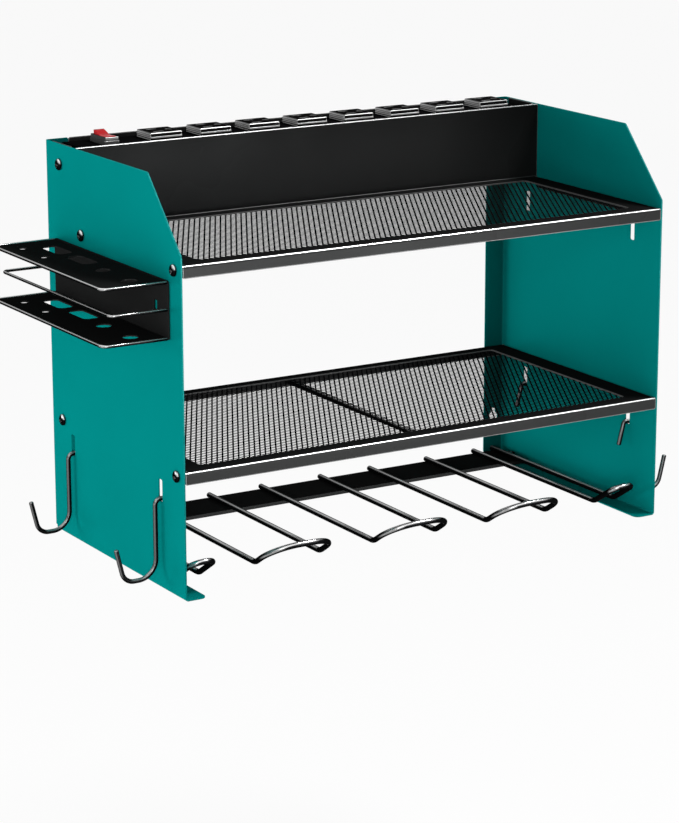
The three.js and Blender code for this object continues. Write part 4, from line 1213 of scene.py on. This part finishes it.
def makeRackBack():
    sheet, gap = body["sheet"], body["gap"]
    slotBottom, half = panel["slotBottoms"][1], rack["tongue"] / 2
    seat, lowest = slotBottom + gap + sheet / 2, slotBottom - rack["tongueDrop"]
    outline = rectangle(rack["front"], rack["rear"], rack["bottom"] - rack["wire"] / 2,
                        rack["top"] + rack["wire"] / 2, rack["backCorner"])
    pressed = [rectangle(y - half - gap, y + half + gap, lowest - 2 * gap, seat) for y in panel["slotRows"]]
    back = placed(plate([outline, *pressed], sheet), ontoSide, shift(rackBackOut + sheet / 2))
    tongues = [tongueMesh(y, seat, lowest) for y in panel["slotRows"]]
    finished("rackBack", joined(back, *tongues), "blackSheet", ["rack_back"])


def makeRackPlates():
    sheet, gap = body["sheet"], body["gap"]
    edge, corner = rack["wire"] + gap, rack["corner"] - rack["wire"] / 2 - gap
    out, inside = rack["out"] + edge, rackBackOut - gap
    front, rear = rack["front"] + edge, rack["rear"] - edge
    flat = filleted([(out, front), (inside, front), (inside, rear), (out, rear)], [corner, 0, 0, corner])

    def place(acrossShare, alongShare):
        return (rackBackOut + acrossShare * (rack["out"] - rackBackOut),
                rack["front"] + alongShare * (rack["rear"] - rack["front"]))

    holes = [disc(*place(rack["driverOut"], share), rack["driverHole"]) for share in rack["driverShares"]]
    wide, long = rack["gripSlot"]
    for x, y in (place(rack["gripOut"], share) for share in rack["gripShares"]):
        holes.append(rectangle(x - wide / 2, x + wide / 2, y - long / 2, y + long / 2, wide / 3))
    holes += [disc(*place(rack["bitOut"], share), rack["bitHole"], 24) for share in rack["bitShares"]]
    for name in ("top", "bottom"):
        mesh = placed(plate([flat, *holes], sheet), shift(z=rack[name]))
        finished("rackPlate_" + name, mesh, "blackSheet", ["rack_" + name])


def makeRackHoops():
    half, back, corner = rack["wire"] / 2, rackBackOut - body["gap"], rack["corner"]
    front, rear = rack["front"] + half, rack["rear"] - half
    paths, levels = [], ("top", "middle", "bottom")
    for name in levels:
        z, out = rack[name], rack["out"] + half + (rack["middleInset"] if name == "middle" else 0)
        run = [(back, front, z), (out, front, z), (out, rear, z), (back, rear, z)]
        paths.append(filleted(run, [0, corner, corner, 0], closed=False))
    mesh = withPaintedGlints(wires(paths, rack["wire"], rack["wireSides"]))
    finished("rackHoops", mesh, "blackWire", ["rack_hoop_" + name for name in levels], even=False)


makeRackBack()
makeRackPlates()
makeRackHoops()
print("side rack ready")


# Screws: domed heads with a cross recess

screws = {
    "shank": 4, "head": 9, "barHead": 7, "dome": 2.6, "rim": 0.8, "rimCorner": 0.15, "length": 6,
    "barLength": 4.5, "tip": 0.4, "cross": (4.6, 1.0, 1.5), "sides": 32, "domeSteps": 8,
}


# Upright, the head's seat at zero. The recess is cut into the dome.
def screwMesh(head, length):
    rim, shank, dome, tip = head / 2, screws["shank"] / 2, screws["dome"], screws["tip"]
    low, corner, steps = screws["rim"], screws["rimCorner"], screws["domeSteps"]
    turns = [math.pi / 2 * k / steps for k in range(steps)]
    crown = [(rim * math.cos(a), low + (dome - low) * math.sin(a)) for a in turns]
    profile = [(0, -length), (shank - tip, -length), (shank, -length + tip), (shank, 0), (rim - corner, 0),
               (rim, corner), *crown, (0, dome)]
    long, wide, deep = screws["cross"]
    corners = [(long / 2, wide / 2), (wide / 2, wide / 2), (wide / 2, long / 2)]
    cross = [(x * c - y * s, x * s + y * c) for c, s in ((1, 0), (0, 1), (-1, 0), (0, -1)) for x, y in corners]
    arms = placed(plate([cross], 2 * deep, 0.05, 1), shift(z=dome))
    whole, cutter = loose("screw", turned(profile, screws["sides"])), loose("cutter", arms)
    cut = whole.modifiers.new("recess", "BOOLEAN")
    cut.operation, cut.object, cut.solver = "DIFFERENCE", cutter, "EXACT"
    made = evaluatedMesh(whole)
    bpy.data.objects.remove(whole)
    bpy.data.objects.remove(cutter)
    return made


def makeScrews():
    names = ("lower_front", "lower_rear", "upper_front", "upper_rear", "channel")
    places, nodes = [], []
    for side, word in ((-1, "left"), (1, "right")):
        for name, (y, z) in zip(names, panel["screwPlaces"]):
            places.append(((side * (halfWidth + body["gap"]), y, z), (side, 0, 0)))
            nodes.append("screw_%s_%s" % (name, word))
    sideScrews = repeated(screwMesh(screws["head"], screws["length"]), places, "blackScrew")
    x, y = panel["barScrew"]
    seat = body["sheet"] + 2 * body["gap"] + loops["barThickness"]
    barPlaces = [((side * x, y, seat), (0, 0, 1)) for side in (-1, 1)]
    barScrews = repeated(screwMesh(screws["barHead"], screws["barLength"]), barPlaces, "blackScrew")
    # a painted highlight spot on each head
    heads = marked(joined(sideScrews, barScrews), "edge", glint("head"))
    finished("screws", heads, "blackScrew", nodes + ["bar_screw_left", "bar_screw_right"])


makeScrews()
print("screws ready")

for name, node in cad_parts.items():
    if not node.hide_render and not name.startswith("bus_bar"):
        print("still shown as CAD:", name)
